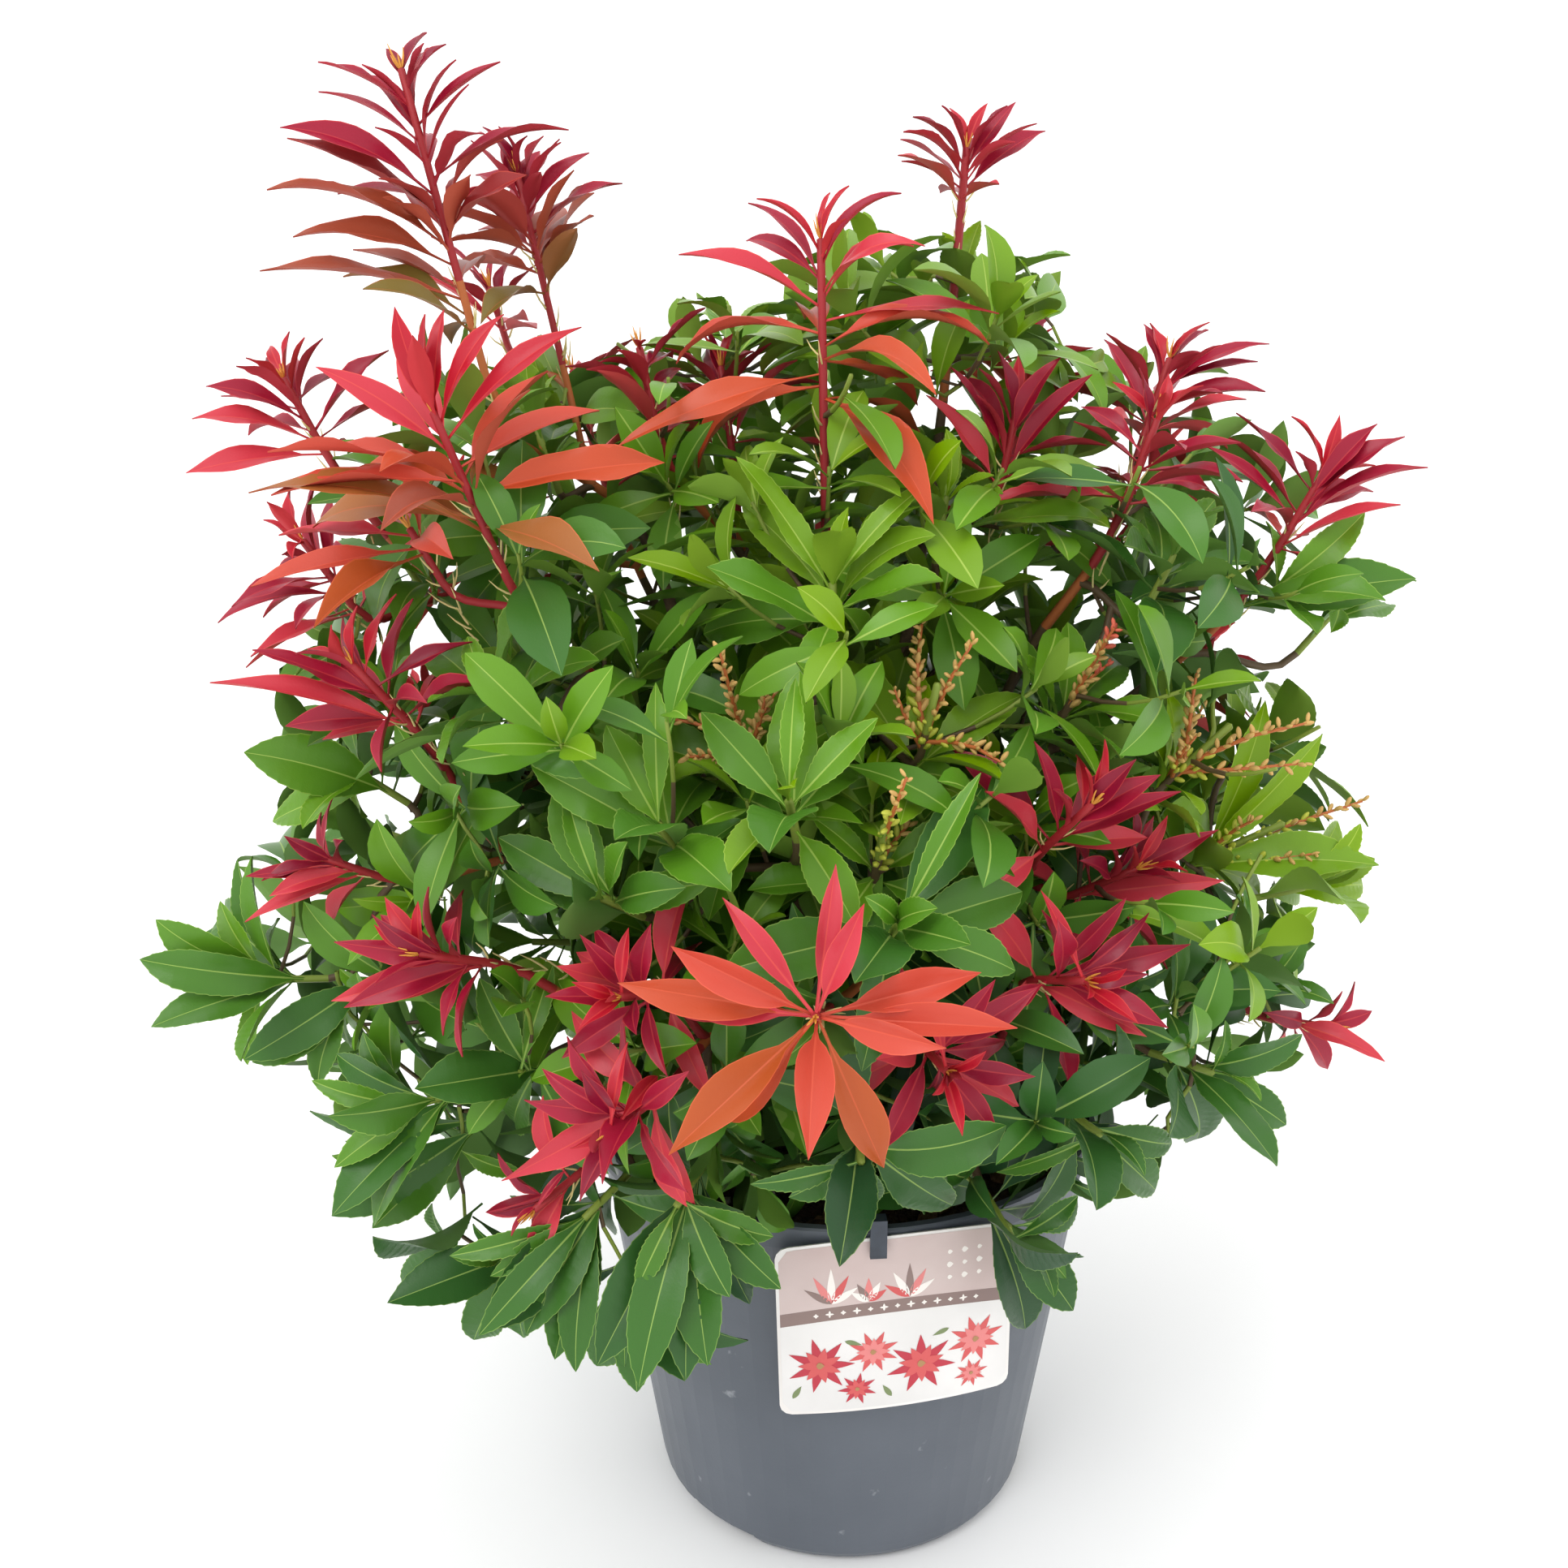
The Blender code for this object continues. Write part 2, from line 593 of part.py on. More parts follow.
def shoot_way(tip):
    """The direction in which a shoot at this place grows: away from the crown's heart, and up."""
    outward = (tip - CROWN_HEART).normalized()
    rise = max(SHOOT_LEAST_RISE, SHOOT_RISE * (tip.z - SHOOT_RISE_FROM))
    return (outward + UP * rise).normalized()


def shoot_foot(kind, tip):
    """Where the leafy stem of a shoot begins."""
    return tip - shoot_way(tip) * (KINDS[kind].zone + SHOOT_BARE)


def random_turn(most, chance):
    return Vector([chance.uniform(-most, most) for _ in range(3)])


def tapering(first, last, count):
    """Evenly tapering radii."""
    return [first + (last - first) * i / (count - 1) for i in range(count)]


def build_bough(mass, limbs, space, rank, chance):
    """A bough from its carrier to the inner side of its mass, on the first bend that clears the others."""
    tips = [Vector(shoot[1:]) for shoot in mass.shoots]
    middle = sum(tips, Vector()) / len(tips)
    end = CROWN_HEART.lerp(middle, BOUGH_REACH)
    end_way = (middle - end).normalized() + UP * BOUGH_END_RISE
    carrier = limbs[mass.carrier]
    main = mass.carrier == "trunk"
    thick = MAIN_BOUGH_RADIUS if main else SIDE_BOUGH_RADIUS
    low, high = TRUNK_FORKS if main else BOUGH_FORKS
    for attempt in range(LIMB_TRIES):
        if rank == 0:
            way = carrier.at(1.0)[1]
            start = TRUNK_TOP + way * GAP
        else:
            point, carrier_way, radius = carrier.at(chance.uniform(low, high))
            outward = end - point
            outward = (outward - carrier_way * outward.dot(carrier_way)).normalized()
            start = point + outward * radius * LIMB_START
            bend = random_turn(BOUGH_BEND, chance) * (attempt > 0)
            way = outward + carrier_way * BOUGH_FOLLOW + bend
        path = curve_points(start, way, end, end_way, LIMB_STEPS)
        radii = tapering(thick, BOUGH_TIP_RADIUS, LIMB_STEPS + 1)
        limb = Limb(path, radii, LIMB_SIDES, way.normalized())
        if space.clear(*limb.solid(CLEARANCE), (mass.carrier,)):
            break
    else:
        raise RuntimeError(f"no clear way for the bough of {mass.name}")
    obj = add_object(f"bough_{mass.name}", *limb.solid(), ("bark",))
    if rank != 0:
        cut(obj, add_object("saddle", *carrier.solid(GAP), ("bark",)))
        keep_one_body(obj.data)
    space.add(mass.name, *limb.solid())
    return limb


# ---------------------------------------------------------------- leaves and masses


def leaf(root, along, face, length, width, droop):
    """A thin arched blade of eight faces, folded up along its midrib, whose root is sunk in its twig."""
    side = along.cross(face).normalized()
    face = side.cross(along).normalized()
    middle = root + along * (LEAF_WIDEST * length) + face * (LEAF_ARCH * length)
    tip = root + along * length - face * (droop * length)
    half, edge_rise = side * (width / 2), face * (LEAF_FOLD * width)
    thick = face * (LEAF_THICKNESS * length / 2)
    left, right = middle + edge_rise - half, middle + edge_rise + half
    points = [tip, root - along * ROOT_SINK, left, right, middle + thick, middle - thick]
    faces = [(1, 2, 4), (2, 0, 4), (0, 3, 4), (3, 1, 4), (2, 1, 5), (0, 2, 5), (3, 0, 5), (1, 3, 5)]
    return points, faces


def grown(points, margin):
    """The points moved outwards from their middle, for testing a solid with room round it."""
    middle = sum(points, Vector()) / len(points)
    return [p + (p - middle).normalized() * margin for p in points]


def shoot_leaves(kind, tip, chance):
    """The leaves of one shoot, spiralling round its stem: for each, the list of its tries."""
    sort, way = KINDS[kind], shoot_way(tip)
    across = way.orthogonal().normalized()
    start = chance.uniform(0, math.tau)
    for i in range(sort.leaves):
        share = i / max(1, sort.leaves - 1)
        root = tip - way * (sort.zone * (1 - share) + TIP_COVER)
        size = (1 - TOP_LEAF_SHRINK * share**2) * chance.uniform(*LEAF_SIZES)
        spread = sort.low_spread + (sort.high_spread - sort.low_spread) * share**SPREAD_EASE
        spread += chance.uniform(-SPREAD_JITTER, SPREAD_JITTER)
        tries = []
        for shrink, turn, lift in LEAF_TRIES:
            around = start + i * GOLDEN_ANGLE + math.radians(turn)
            out = across * math.cos(around) + way.cross(across) * math.sin(around)
            angle = math.radians(max(LEAST_SPREAD, spread + lift))
            along = (way * math.cos(angle) + out * math.sin(angle)).normalized()
            face = (way * math.sin(angle) - out * math.cos(angle)).normalized()
            length = sort.length * size * shrink
            tries.append(leaf(root, along, face, length, length * sort.width, sort.droop))
        yield tries


def bud_spikes(kind, tip, chance):
    """The slim bud clusters of one flower head, as closed spikes round its stem."""
    sort, way = KINDS[kind], shoot_way(tip)
    across = way.orthogonal().normalized()
    thick = sort.length * sort.width / 2
    for i in range(SPIKES):
        around = i * GOLDEN_ANGLE + chance.uniform(-SPIKE_JITTER, SPIKE_JITTER)
        out = across * math.cos(around) + way.cross(across) * math.sin(around)
        angle = math.radians(sort.high_spread if i == 0 else sort.low_spread)
        along = way * math.cos(angle) + out * math.sin(angle)
        root = tip - way * sort.zone * SPIKE_ZONE * i / (SPIKES - 1)
        path = [root + along * sort.length * share for share, _ in SPIKE_SHAPE]
        yield tube(path, [thick * part for _, part in SPIKE_SHAPE], TWIG_SIDES, along)


def twig_to(kind, tip, parents, space, name, chance):
    """A twig to a shoot's tip, from the nearest fitting place on the mass's twigs, or None."""
    foot, way = shoot_foot(kind, tip), shoot_way(tip)
    places = []
    for parent in parents:
        for share in TWIG_PLACES:
            point, parent_way, radius = parent.at(share)
            ahead = parent_way.dot((foot - point).normalized())
            cost = (foot - point).length * (1 + TURN_COST * (1 - ahead))
            places.append((cost, point, parent_way, radius))
    places.sort(key=lambda place: place[0])
    for attempt in range(TWIG_TRIES):
        _, point, parent_way, radius = places[min(attempt // TRIES_AT_PLACE, len(places) - 1)]
        bend = random_turn(TWIG_BEND, chance) * (attempt % TRIES_AT_PLACE > 0)
        start_way = (foot - point).normalized() + parent_way * TWIG_FOLLOW + bend
        path = curve_points(point, start_way, foot, way + bend * TWIG_FOLLOW, TWIG_STEPS) + [tip]
        radii = tapering(min(TWIG_RADIUS, radius * TWIG_TAPER), SHOOT_RADIUS, len(path))
        twig = Limb(path, radii, TWIG_SIDES, start_way.normalized())
        above = min(point.z for point in path) > TWIG_LOWEST
        if above and space.clear(*twig.solid(CLEARANCE), (name,)):
            return twig
    return None


def blade(points):
    """The outer part of a leaf, away from its root, where the whorl's leaves meet."""
    tip = points[0]
    return [tip + (p - tip) * BLADE_SHARE for p in points]


class Spray:
    """The growing mass: its twigs and pieces, which the union joins at the end.

    `space` holds all solids placed so far, and `blades` the outer parts of all leaves and the twigs,
    which cross each other nowhere.
    """

    def __init__(self, mass, bough, space, blades):
        self.mass = mass
        self.name = "foliage_" + mass.name
        self.space = space
        self.blades = blades
        self.pieces = []
        self.twigs = []
        self.shoots = []
        self.grow_stem(bough)

    def add(self, points, faces, slot):
        self.pieces.append((points, faces, FOLIAGE.index(slot)))
        self.space.add(self.name, points, faces)

    def add_twig(self, kind, tip, twig):
        self.twigs.append(twig)
        self.add(*twig.solid(), "twig")
        self.blades.add(self.name, *twig.solid())
        self.shoots.append((kind, tip))

    def grow_stem(self, bough):
        """The stem runs on from the bough's flat tip to the mass's first shoot."""
        kind, *place = self.mass.shoots[0]
        tip = Vector(place)
        end, way, radius = bough.at(1.0)
        start = end + way * GAP
        path = curve_points(start, way, shoot_foot(kind, tip), shoot_way(tip), TWIG_STEPS + 1) + [tip]
        radii = tapering(radius * STEM_TAPER, SHOOT_RADIUS, len(path))
        self.add_twig(kind, tip, Limb(path, radii, TWIG_SIDES, way))

    def grow_twig(self, kind, tip, chance):
        """Adds the twig of one more shoot where the way to it is clear."""
        twig = twig_to(kind, tip, self.twigs, self.space, self.name, chance)
        if twig is None:
            return False
        self.add_twig(kind, tip, twig)
        return True

    def grow_buds(self, kind, tip, chance):
        """Adds a flower head's spikes, but for any that would touch another mass or a limb."""
        for points, faces in bud_spikes(kind, tip, chance):
            if self.space.clear(grown(points, CLEARANCE), faces, (self.name,)):
                self.add(points, faces, "buds")

    def grow_leaves(self, kind, tip, chance):
        """Adds a shoot's leaves, each at its first try that stays clear of all other solids."""
        for tries in shoot_leaves(kind, tip, chance):
            for points, faces in tries:
                if not self.space.clear(grown(points, CLEARANCE), faces, (self.name,)):
                    continue
                if self.blades.clear(blade(points), faces, ()):
                    self.add(points, faces, KINDS[kind].colour)
                    self.blades.add(self.name, blade(points), faces)
                    break


def fill_places(taken, chance):
    """Evenly spread tips for green whorls over the crown, wherever no other shoot is near."""
    found = []
    for _ in range(FILL_TRIES):
        height, turn = chance.uniform(-1, 1), chance.uniform(0, math.tau)
        flat = math.sqrt(1 - height * height)
        depth = chance.uniform(FILL_SHELL, 1.0)
        unit = Vector((flat * math.cos(turn), flat * math.sin(turn), height)) * depth
        tip = FILL_MIDDLE + Vector([unit[k] * FILL_RADII[k] for k in range(3)])
        if tip.z < FILL_LOWEST:
            continue
        if all((tip - other).length > FILL_SPACING for other in taken + found):
            found.append(tip)
    return found


def build_plant(space):
    """Trunk, boughs and masses. A mass's space is what lies nearer to its own shoots than to any other's."""
    chance = random.Random(SEED)
    limbs = {"trunk": build_trunk()}
    space.add("trunk", *limbs["trunk"].solid())
    for rank, mass in enumerate(MASSES):
        limbs[mass.name] = build_bough(mass, limbs, space, rank, chance)
    blades = Space()
    sprays = [Spray(mass, limbs[mass.name], space, blades) for mass in MASSES]
    for spray in sprays:
        for kind, *place in spray.mass.shoots[1:]:
            if not spray.grow_twig(kind, Vector(place), chance):
                raise RuntimeError(f"no clear way for the {kind} twig of {spray.name} at {place}")
    taken = [tip for spray in sprays for _, tip in spray.shoots]
    owners = [(tip, spray) for spray in sprays for _, tip in spray.shoots]
    for tip in fill_places(taken, chance):
        nearest = min(owners, key=lambda pair: (pair[0] - tip).length)[1]
        nearest.grow_twig("green", tip, chance)
    for green in (False, True):
        for spray in sprays:
            for kind, tip in spray.shoots:
                if (KINDS[kind].colour == "green") != green:
                    continue
                if kind == "buds":
                    spray.grow_buds(kind, tip, chance)
                else:
                    spray.grow_leaves(kind, tip, chance)
    for spray in sprays:
        fuse(spray.name, spray.pieces)


def main():
    clear_scene()
    space = Space()
    for obj in (build_pot(), build_compost(), build_label(), build_clip()):
        space.add(obj.name, *mesh_shape(obj))
    build_plant(space)


main()
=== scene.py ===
"""A pieris shrub with red spring growth in a nursery pot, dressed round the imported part.

Units are metres, +Z is up and the label faces -Y. Limbs and leading twigs are grown again by the
source's rule from the source's seed, so that they stand where its solids do. Finer twigs, leaves,
buds and bracts then grow on from them.
"""

import math
import random
from typing import NamedTuple

import bpy
import numpy as np
from mathutils import Matrix, Vector, noise
from mathutils.bvhtree import BVHTree


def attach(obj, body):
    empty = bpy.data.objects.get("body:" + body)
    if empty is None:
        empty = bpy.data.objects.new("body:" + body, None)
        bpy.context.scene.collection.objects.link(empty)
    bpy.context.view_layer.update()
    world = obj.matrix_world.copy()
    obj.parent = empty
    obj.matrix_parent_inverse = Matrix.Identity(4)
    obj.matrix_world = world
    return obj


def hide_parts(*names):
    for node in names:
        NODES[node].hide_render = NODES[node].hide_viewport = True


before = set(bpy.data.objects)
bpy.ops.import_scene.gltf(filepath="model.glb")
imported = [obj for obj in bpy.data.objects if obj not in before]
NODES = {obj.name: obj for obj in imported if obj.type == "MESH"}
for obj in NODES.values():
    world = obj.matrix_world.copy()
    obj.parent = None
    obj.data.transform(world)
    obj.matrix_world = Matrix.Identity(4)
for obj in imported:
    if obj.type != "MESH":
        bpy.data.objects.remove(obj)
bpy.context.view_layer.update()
BODY = "root"
UP = Vector((0, 0, 1))

# ------------------------------------------------------- sizes that the source has too

SEED = 11
GAP = 0.0003
CLEARANCE = 0.0008

POT_HEIGHT = 0.228
POT_RIM_RADIUS = 0.140
RIM_HEIGHT = 0.012
COMPOST_LEVEL = 0.205

LABEL_WIDTH = 0.117
LABEL_HEIGHT = 0.100
LABEL_THICKNESS = 0.0008
LABEL_CORNER = 0.006
LABEL_ANGLE = -81.5  # degrees round the pot from +X
LABEL_TOP = 0.222
LABEL_TILT = -2.0  # degrees, in its own plane
LABEL_LEAN = 5.0  # degrees from upright, with the pot's wall
LABEL_BEND = 0.300  # radius to which the card is bent
LABEL_CROWN = 0.004  # how far the middle of its top edge rises

TRUNK_TOP = Vector((0.006, 0.004, 0.315))
TRUNK_RADII = ((0.0, 0.0175), (0.07, 0.0135), (0.20, 0.0110), (1.0, 0.0085))
TRUNK_SIDES = 10
LIMB_SIDES = 6
LIMB_STEPS = 4
MAIN_BOUGH_RADIUS = 0.0052
SIDE_BOUGH_RADIUS = 0.0040
BOUGH_TIP_RADIUS = 0.0029
CROWN_HEART = Vector((0.0, 0.0, 0.33))
TRUNK_FORKS = (0.35, 0.95)
BOUGH_FORKS = (0.35, 0.80)
LIMB_TRIES = 200
BOUGH_REACH = 0.56
BOUGH_END_RISE = 0.25
BOUGH_FOLLOW = 0.7
BOUGH_BEND = 0.4
LIMB_START = 0.5
CURVE_REACH = 0.38

SHOOT_LEAST_RISE = 0.1
SHOOT_RISE = 2.4
SHOOT_RISE_FROM = 0.30
SHOOT_BARE = 0.012

TWIG_RADIUS = 0.0025
SHOOT_RADIUS = 0.0019
TWIG_STEPS = 2
TWIG_SIDES = 3
TWIG_PLACES = (0.15, 0.3, 0.45, 0.6, 0.75, 0.9)
TWIG_TRIES = 40
TRIES_AT_PLACE = 4
TWIG_FOLLOW = 0.4
TWIG_BEND = 0.35
TURN_COST = 0.6
TWIG_TAPER = 0.92
STEM_TAPER = 0.95
TWIG_LOWEST = 0.225
TWIG_LEAST_TIP = 0.002
GOLDEN_ANGLE = math.radians(137.5)

FILL_MIDDLE = Vector((-0.005, 0.0, 0.420))
FILL_RADII = Vector((0.220, 0.195, 0.230))
FILL_LOWEST = 0.245
FILL_SPACING = 0.098
FILL_SHELL = 0.80
FILL_TRIES = 4000

ZONES = {  # length of stem that carries leaves, for each kind of shoot
    "spire": 0.125, "tower": 0.120, "fan": 0.065, "star": 0.016,
    "crimson": 0.026, "sprig": 0.018, "green": 0.020, "buds": 0.030,
}

MASSES = (  # name, what carries its bough, and its leading shoots' tips
    ("centre_spire", "trunk", (
        ("tower", -0.015, -0.060, 0.695), ("green", -0.010, -0.100, 0.530),
        ("buds", -0.055, -0.125, 0.485), ("buds", 0.035, -0.125, 0.490))),
    ("left_spire", "trunk", (
        ("spire", -0.200, -0.030, 0.748), ("spire", -0.160, 0.030, 0.708),
        ("sprig", -0.185, 0.080, 0.655), ("green", -0.150, -0.015, 0.590))),
    ("left_fan", "trunk", (
        ("fan", -0.175, -0.130, 0.607), ("star", -0.195, -0.100, 0.555),
        ("green", -0.160, -0.130, 0.490))),
    ("front_heart", "trunk", (
        ("green", -0.030, -0.180, 0.455), ("green", -0.085, -0.165, 0.440),
        ("green", -0.110, -0.160, 0.405), ("green", 0.015, -0.190, 0.405))),
    ("right_shoulder", "trunk", (
        ("crimson", 0.140, -0.050, 0.596), ("crimson", 0.165, 0.040, 0.619),
        ("green", 0.150, -0.060, 0.535), ("buds", 0.115, -0.085, 0.500))),
    ("right_flank", "trunk", (
        ("crimson", 0.102, -0.140, 0.440), ("crimson", 0.132, -0.100, 0.395),
        ("green", 0.170, -0.120, 0.300), ("buds", 0.175, -0.085, 0.460))),
    ("back_left", "trunk", (
        ("crimson", -0.150, 0.130, 0.610), ("crimson", -0.210, 0.110, 0.540),
        ("green", -0.120, 0.165, 0.540))),
    ("back_right", "trunk", (
        ("crimson", 0.110, 0.140, 0.620), ("crimson", 0.180, 0.120, 0.560),
        ("green", 0.070, 0.175, 0.540))),
    ("left_shoulder", "left_spire", (
        ("crimson", -0.271, -0.020, 0.622), ("crimson", -0.254, -0.060, 0.544),
        ("green", -0.235, 0.020, 0.535))),
    ("left_flank", "left_fan", (
        ("crimson", -0.217, -0.130, 0.501), ("sprig", -0.247, -0.100, 0.403),
        ("green", -0.290, -0.075, 0.330), ("green", -0.235, -0.080, 0.440))),
    ("left_skirt", "left_fan", (
        ("crimson", -0.188, -0.170, 0.384), ("sprig", -0.146, -0.165, 0.256),
        ("green", -0.205, -0.130, 0.290), ("green", -0.125, -0.155, 0.245))),
    ("front_skirt", "front_heart", (
        ("crimson", -0.104, -0.220, 0.326), ("crimson", -0.100, -0.195, 0.375),
        ("green", -0.080, -0.185, 0.270))),
    ("front_star", "front_heart", (
        ("star", -0.020, -0.230, 0.382), ("crimson", 0.035, -0.205, 0.345),
        ("green", 0.000, -0.200, 0.300), ("buds", 0.010, -0.170, 0.440))),
    ("right_skirt", "right_flank", (
        ("green", 0.070, -0.175, 0.245), ("green", 0.110, -0.160, 0.290),
        ("crimson", 0.097, -0.170, 0.370))),
    ("right_tip", "right_flank", (
        ("sprig", 0.238, -0.080, 0.304), ("green", 0.225, -0.060, 0.370),
        ("buds", 0.215, -0.050, 0.400), ("green", 0.230, 0.000, 0.440))),
    ("right_point", "right_shoulder", (
        ("crimson", 0.226, -0.030, 0.570), ("green", 0.250, 0.000, 0.500))),
    ("top_right", "centre_spire", (
        ("crimson", 0.060, 0.040, 0.735), ("green", 0.060, 0.055, 0.655),
        ("crimson", 0.080, -0.020, 0.600), ("green", 0.045, -0.040, 0.560))),
    ("top_left", "centre_spire", (
        ("crimson", -0.099, -0.020, 0.628), ("crimson", -0.063, 0.040, 0.616),
        ("green", -0.060, 0.075, 0.645))),
    ("back_left_flank", "back_left", (
        ("crimson", -0.240, 0.100, 0.430), ("green", -0.260, 0.040, 0.370),
        ("green", -0.200, 0.150, 0.350))),
    ("back_heart", "back_right", (
        ("crimson", -0.020, 0.205, 0.500), ("green", -0.070, 0.190, 0.430),
        ("green", 0.040, 0.200, 0.420))),
    ("back_right_flank", "back_right", (
        ("crimson", 0.215, 0.130, 0.450), ("green", 0.240, 0.070, 0.390),
        ("green", 0.170, 0.170, 0.370))),
    ("back_left_skirt", "back_left", (
        ("crimson", -0.110, 0.205, 0.330), ("green", -0.165, 0.150, 0.270),
        ("green", -0.050, 0.190, 0.270))),
    ("back_right_skirt", "back_right", (
        ("crimson", 0.095, 0.205, 0.330), ("green", 0.150, 0.150, 0.270),
        ("green", 0.030, 0.190, 0.265))),
)

# ------------------------------------------------------- the camera, which seen tips need too

PICTURE_SIDE = 1932
FOCAL_PIXELS = 2000
SENSOR = 36.0
CAMERA_PLACE = Vector((-0.0319, -0.811, 0.658))
CAMERA_PITCH = 17.24  # degrees down
CAMERA_ROLL = -0.28
CAMERA_TURN = (Matrix.Rotation(math.radians(90 - CAMERA_PITCH), 3, "X")
               @ Matrix.Rotation(math.radians(CAMERA_ROLL), 3, "Z"))

# Leaf tips that the photo shows, as its pixels: by mass and number of shoot, each from its lowest leaf up.
SEEN_TIPS = {
    ("left_spire", 0): (
        (444, 355), (417, 339), (317, 333), (590, 330), (355, 291), (319, 231), (650, 215), (352, 169),
        (339, 155), (706, 158), (578, 102), (389, 111), (617, 75), (390, 75), (550, 53), (526, 39)),
    ("left_spire", 1): ((590, 400), (560, 330), (540, 300), (770, 224), (727, 187), (585, 215), (650, 165)),
    ("left_spire", 2): ((500, 330), (640, 300), (530, 290)),
    ("left_fan", 0): (
        (292, 605), (375, 651), (465, 656), (820, 570), (331, 610), (740, 505), (385, 450), (720, 400),
        (624, 382), (547, 380)),
    ("left_fan", 1): ((385, 775), (308, 723), (560, 690), (342, 659), (500, 640)),
    ("left_shoulder", 0): (
        (228, 583), (232, 515), (480, 430), (250, 475), (290, 450), (425, 460), (375, 415), (332, 425)),
    ("left_shoulder", 1): ((308, 809), (262, 769), (283, 748), (340, 720), (360, 690)),
    ("left_flank", 0): ((255, 840), (350, 895), (528, 866), (310, 800), (583, 790), (489, 729), (440, 745)),
    ("left_flank", 1): (
        (301, 1136), (330, 1105), (302, 1080), (320, 1085), (350, 1030), (395, 1000), (410, 980)),
    ("left_flank", 2): (
        (163, 1181), (184, 1266), (296, 1308), (184, 1129), (310, 1053), (270, 1108), (305, 1313)),
    ("left_flank", 3): ((296, 926), (334, 1013), (371, 1023), (453, 1008)),
    ("left_skirt", 0): (
        (406, 1234), (420, 1243), (406, 1160), (571, 1095), (455, 1125), (473, 1104), (515, 1110)),
    ("left_skirt", 1): ((645, 1568), (597, 1494), (612, 1420), (697, 1441)),
    ("left_skirt", 2): ((407, 1500), (457, 1518), (400, 1376), (410, 1440), (380, 1330)),
    ("left_skirt", 3): (
        (475, 1606), (597, 1640), (645, 1650), (683, 1677), (709, 1696), (583, 1653), (600, 1575),
        (551, 1548)),
    ("front_skirt", 0): (
        (617, 1456), (858, 1487), (740, 1462), (640, 1355), (850, 1319), (664, 1314), (716, 1319),
        (812, 1324), (774, 1281)),
    ("front_skirt", 1): ((685, 1190), (865, 1160), (713, 1150), (810, 1210), (775, 1140)),
    ("front_skirt", 2): (
        (845, 1704), (735, 1684), (785, 1718), (872, 1684), (963, 1589), (900, 1600), (957, 1525),
        (782, 1595)),
    ("front_star", 0): (
        (822, 1425), (1090, 1441), (996, 1433), (1260, 1267), (760, 1211), (897, 1385), (1210, 1198),
        (821, 1163), (1167, 1292), (837, 1235), (1066, 1111), (888, 1103), (1030, 1064)),
    ("front_star", 1): ((1079, 1305), (1242, 1281), (1227, 1206), (1146, 1337), (1140, 1206)),
    ("front_star", 2): ((1034, 1564), (1175, 1486), (1070, 1487), (920, 1460)),
    ("right_flank", 0): (
        (1213, 974), (1458, 974), (1274, 912), (1433, 953), (1401, 934), (1326, 928), (1362, 909)),
    ("right_flank", 1): ((1510, 1085), (1502, 1022), (1330, 1060), (1439, 1004)),
    ("right_flank", 2): (
        (1440, 1402), (1475, 1405), (1575, 1438), (1588, 1388), (1612, 1272), (1430, 1310), (1510, 1255)),
    ("right_skirt", 0): ((1333, 1547), (1330, 1472)),
    ("right_skirt", 1): ((1352, 1493), (1426, 1468), (1449, 1410), (1225, 1445)),
    ("right_skirt", 2): ((1414, 1278), (1468, 1163), (1303, 1131), (1418, 1123), (1282, 1096)),
    ("right_tip", 0): ((1709, 1309), (1636, 1318), (1556, 1247), (1692, 1245), (1670, 1209)),
    ("right_tip", 1): ((1685, 1140), (1560, 1125), (1683, 1090), (1695, 1057), (1680, 1010)),
    ("right_tip", 2): ((1712, 957), (1706, 1066), (1500, 1038), (1632, 902), (1560, 860)),
    ("right_tip", 3): ((1602, 845), (1597, 858), (1560, 840)),
    ("right_point", 0): (
        (1727, 621), (1599, 662), (1766, 573), (1482, 547), (1733, 536), (1698, 521), (1523, 508),
        (1651, 510), (1590, 510)),
    ("right_point", 1): ((1750, 712), (1715, 745), (1640, 780)),
    ("right_shoulder", 0): ((1312, 599), (1492, 603), (1530, 545), (1330, 500), (1404, 452), (1370, 470)),
    ("right_shoulder", 1): (
        (1538, 491), (1360, 417), (1562, 482), (1570, 421), (1551, 445), (1417, 397), (1492, 395)),
    ("centre_spire", 0): (
        (1160, 658), (853, 582), (759, 551), (1132, 500), (1239, 425), (818, 452), (1234, 386), (832, 312),
        (1153, 298), (915, 295), (1120, 230), (927, 240), (1048, 225)),
    ("centre_spire", 1): ((870, 698), (863, 782), (1163, 715), (1052, 818), (905, 560), (1150, 590)),
    ("top_right", 0): ((1105, 190), (1290, 160), (1110, 160), (1252, 125), (1160, 128), (1218, 125)),
    ("top_right", 2): ((1141, 486), (1347, 460), (1172, 452), (1310, 436), (1230, 432), (1255, 436)),
    ("top_left", 0): ((735, 455), (845, 500), (760, 430), (830, 440), (790, 420)),
    ("top_left", 1): ((985, 440), (835, 470), (930, 430), (870, 430), (905, 480)),
    ("front_heart", 0): ((946, 1053), (901, 984), (1050, 945), (863, 876), (1083, 883), (981, 827)),
    ("front_heart", 1): ((754, 1035), (652, 942), (870, 960), (745, 889), (808, 840)),
    ("front_heart", 2): ((705, 1111), (612, 1031), (848, 1093), (697, 969)),
    ("front_heart", 3): ((1052, 1213), (1261, 1098), (1197, 1164), (1209, 951)),
}
SEEN_REACH = 0.112  # a leaf longer than this would belong to another shoot
TOWARD_CAMERA = {"green": 0.9, "red": 0.5}  # how far such a leaf turns its upper side to the camera
LEAFY = {  # for some shoots: how far their leaves stop below the CAD's tip, and how long a stem carries them
    ("centre_spire", 0): (0.020, 0.068), ("top_right", 0): (0.016, 0.024),
    ("left_shoulder", 0): (0.008, 0.038), ("left_spire", 1): (0.0, 0.056),
}

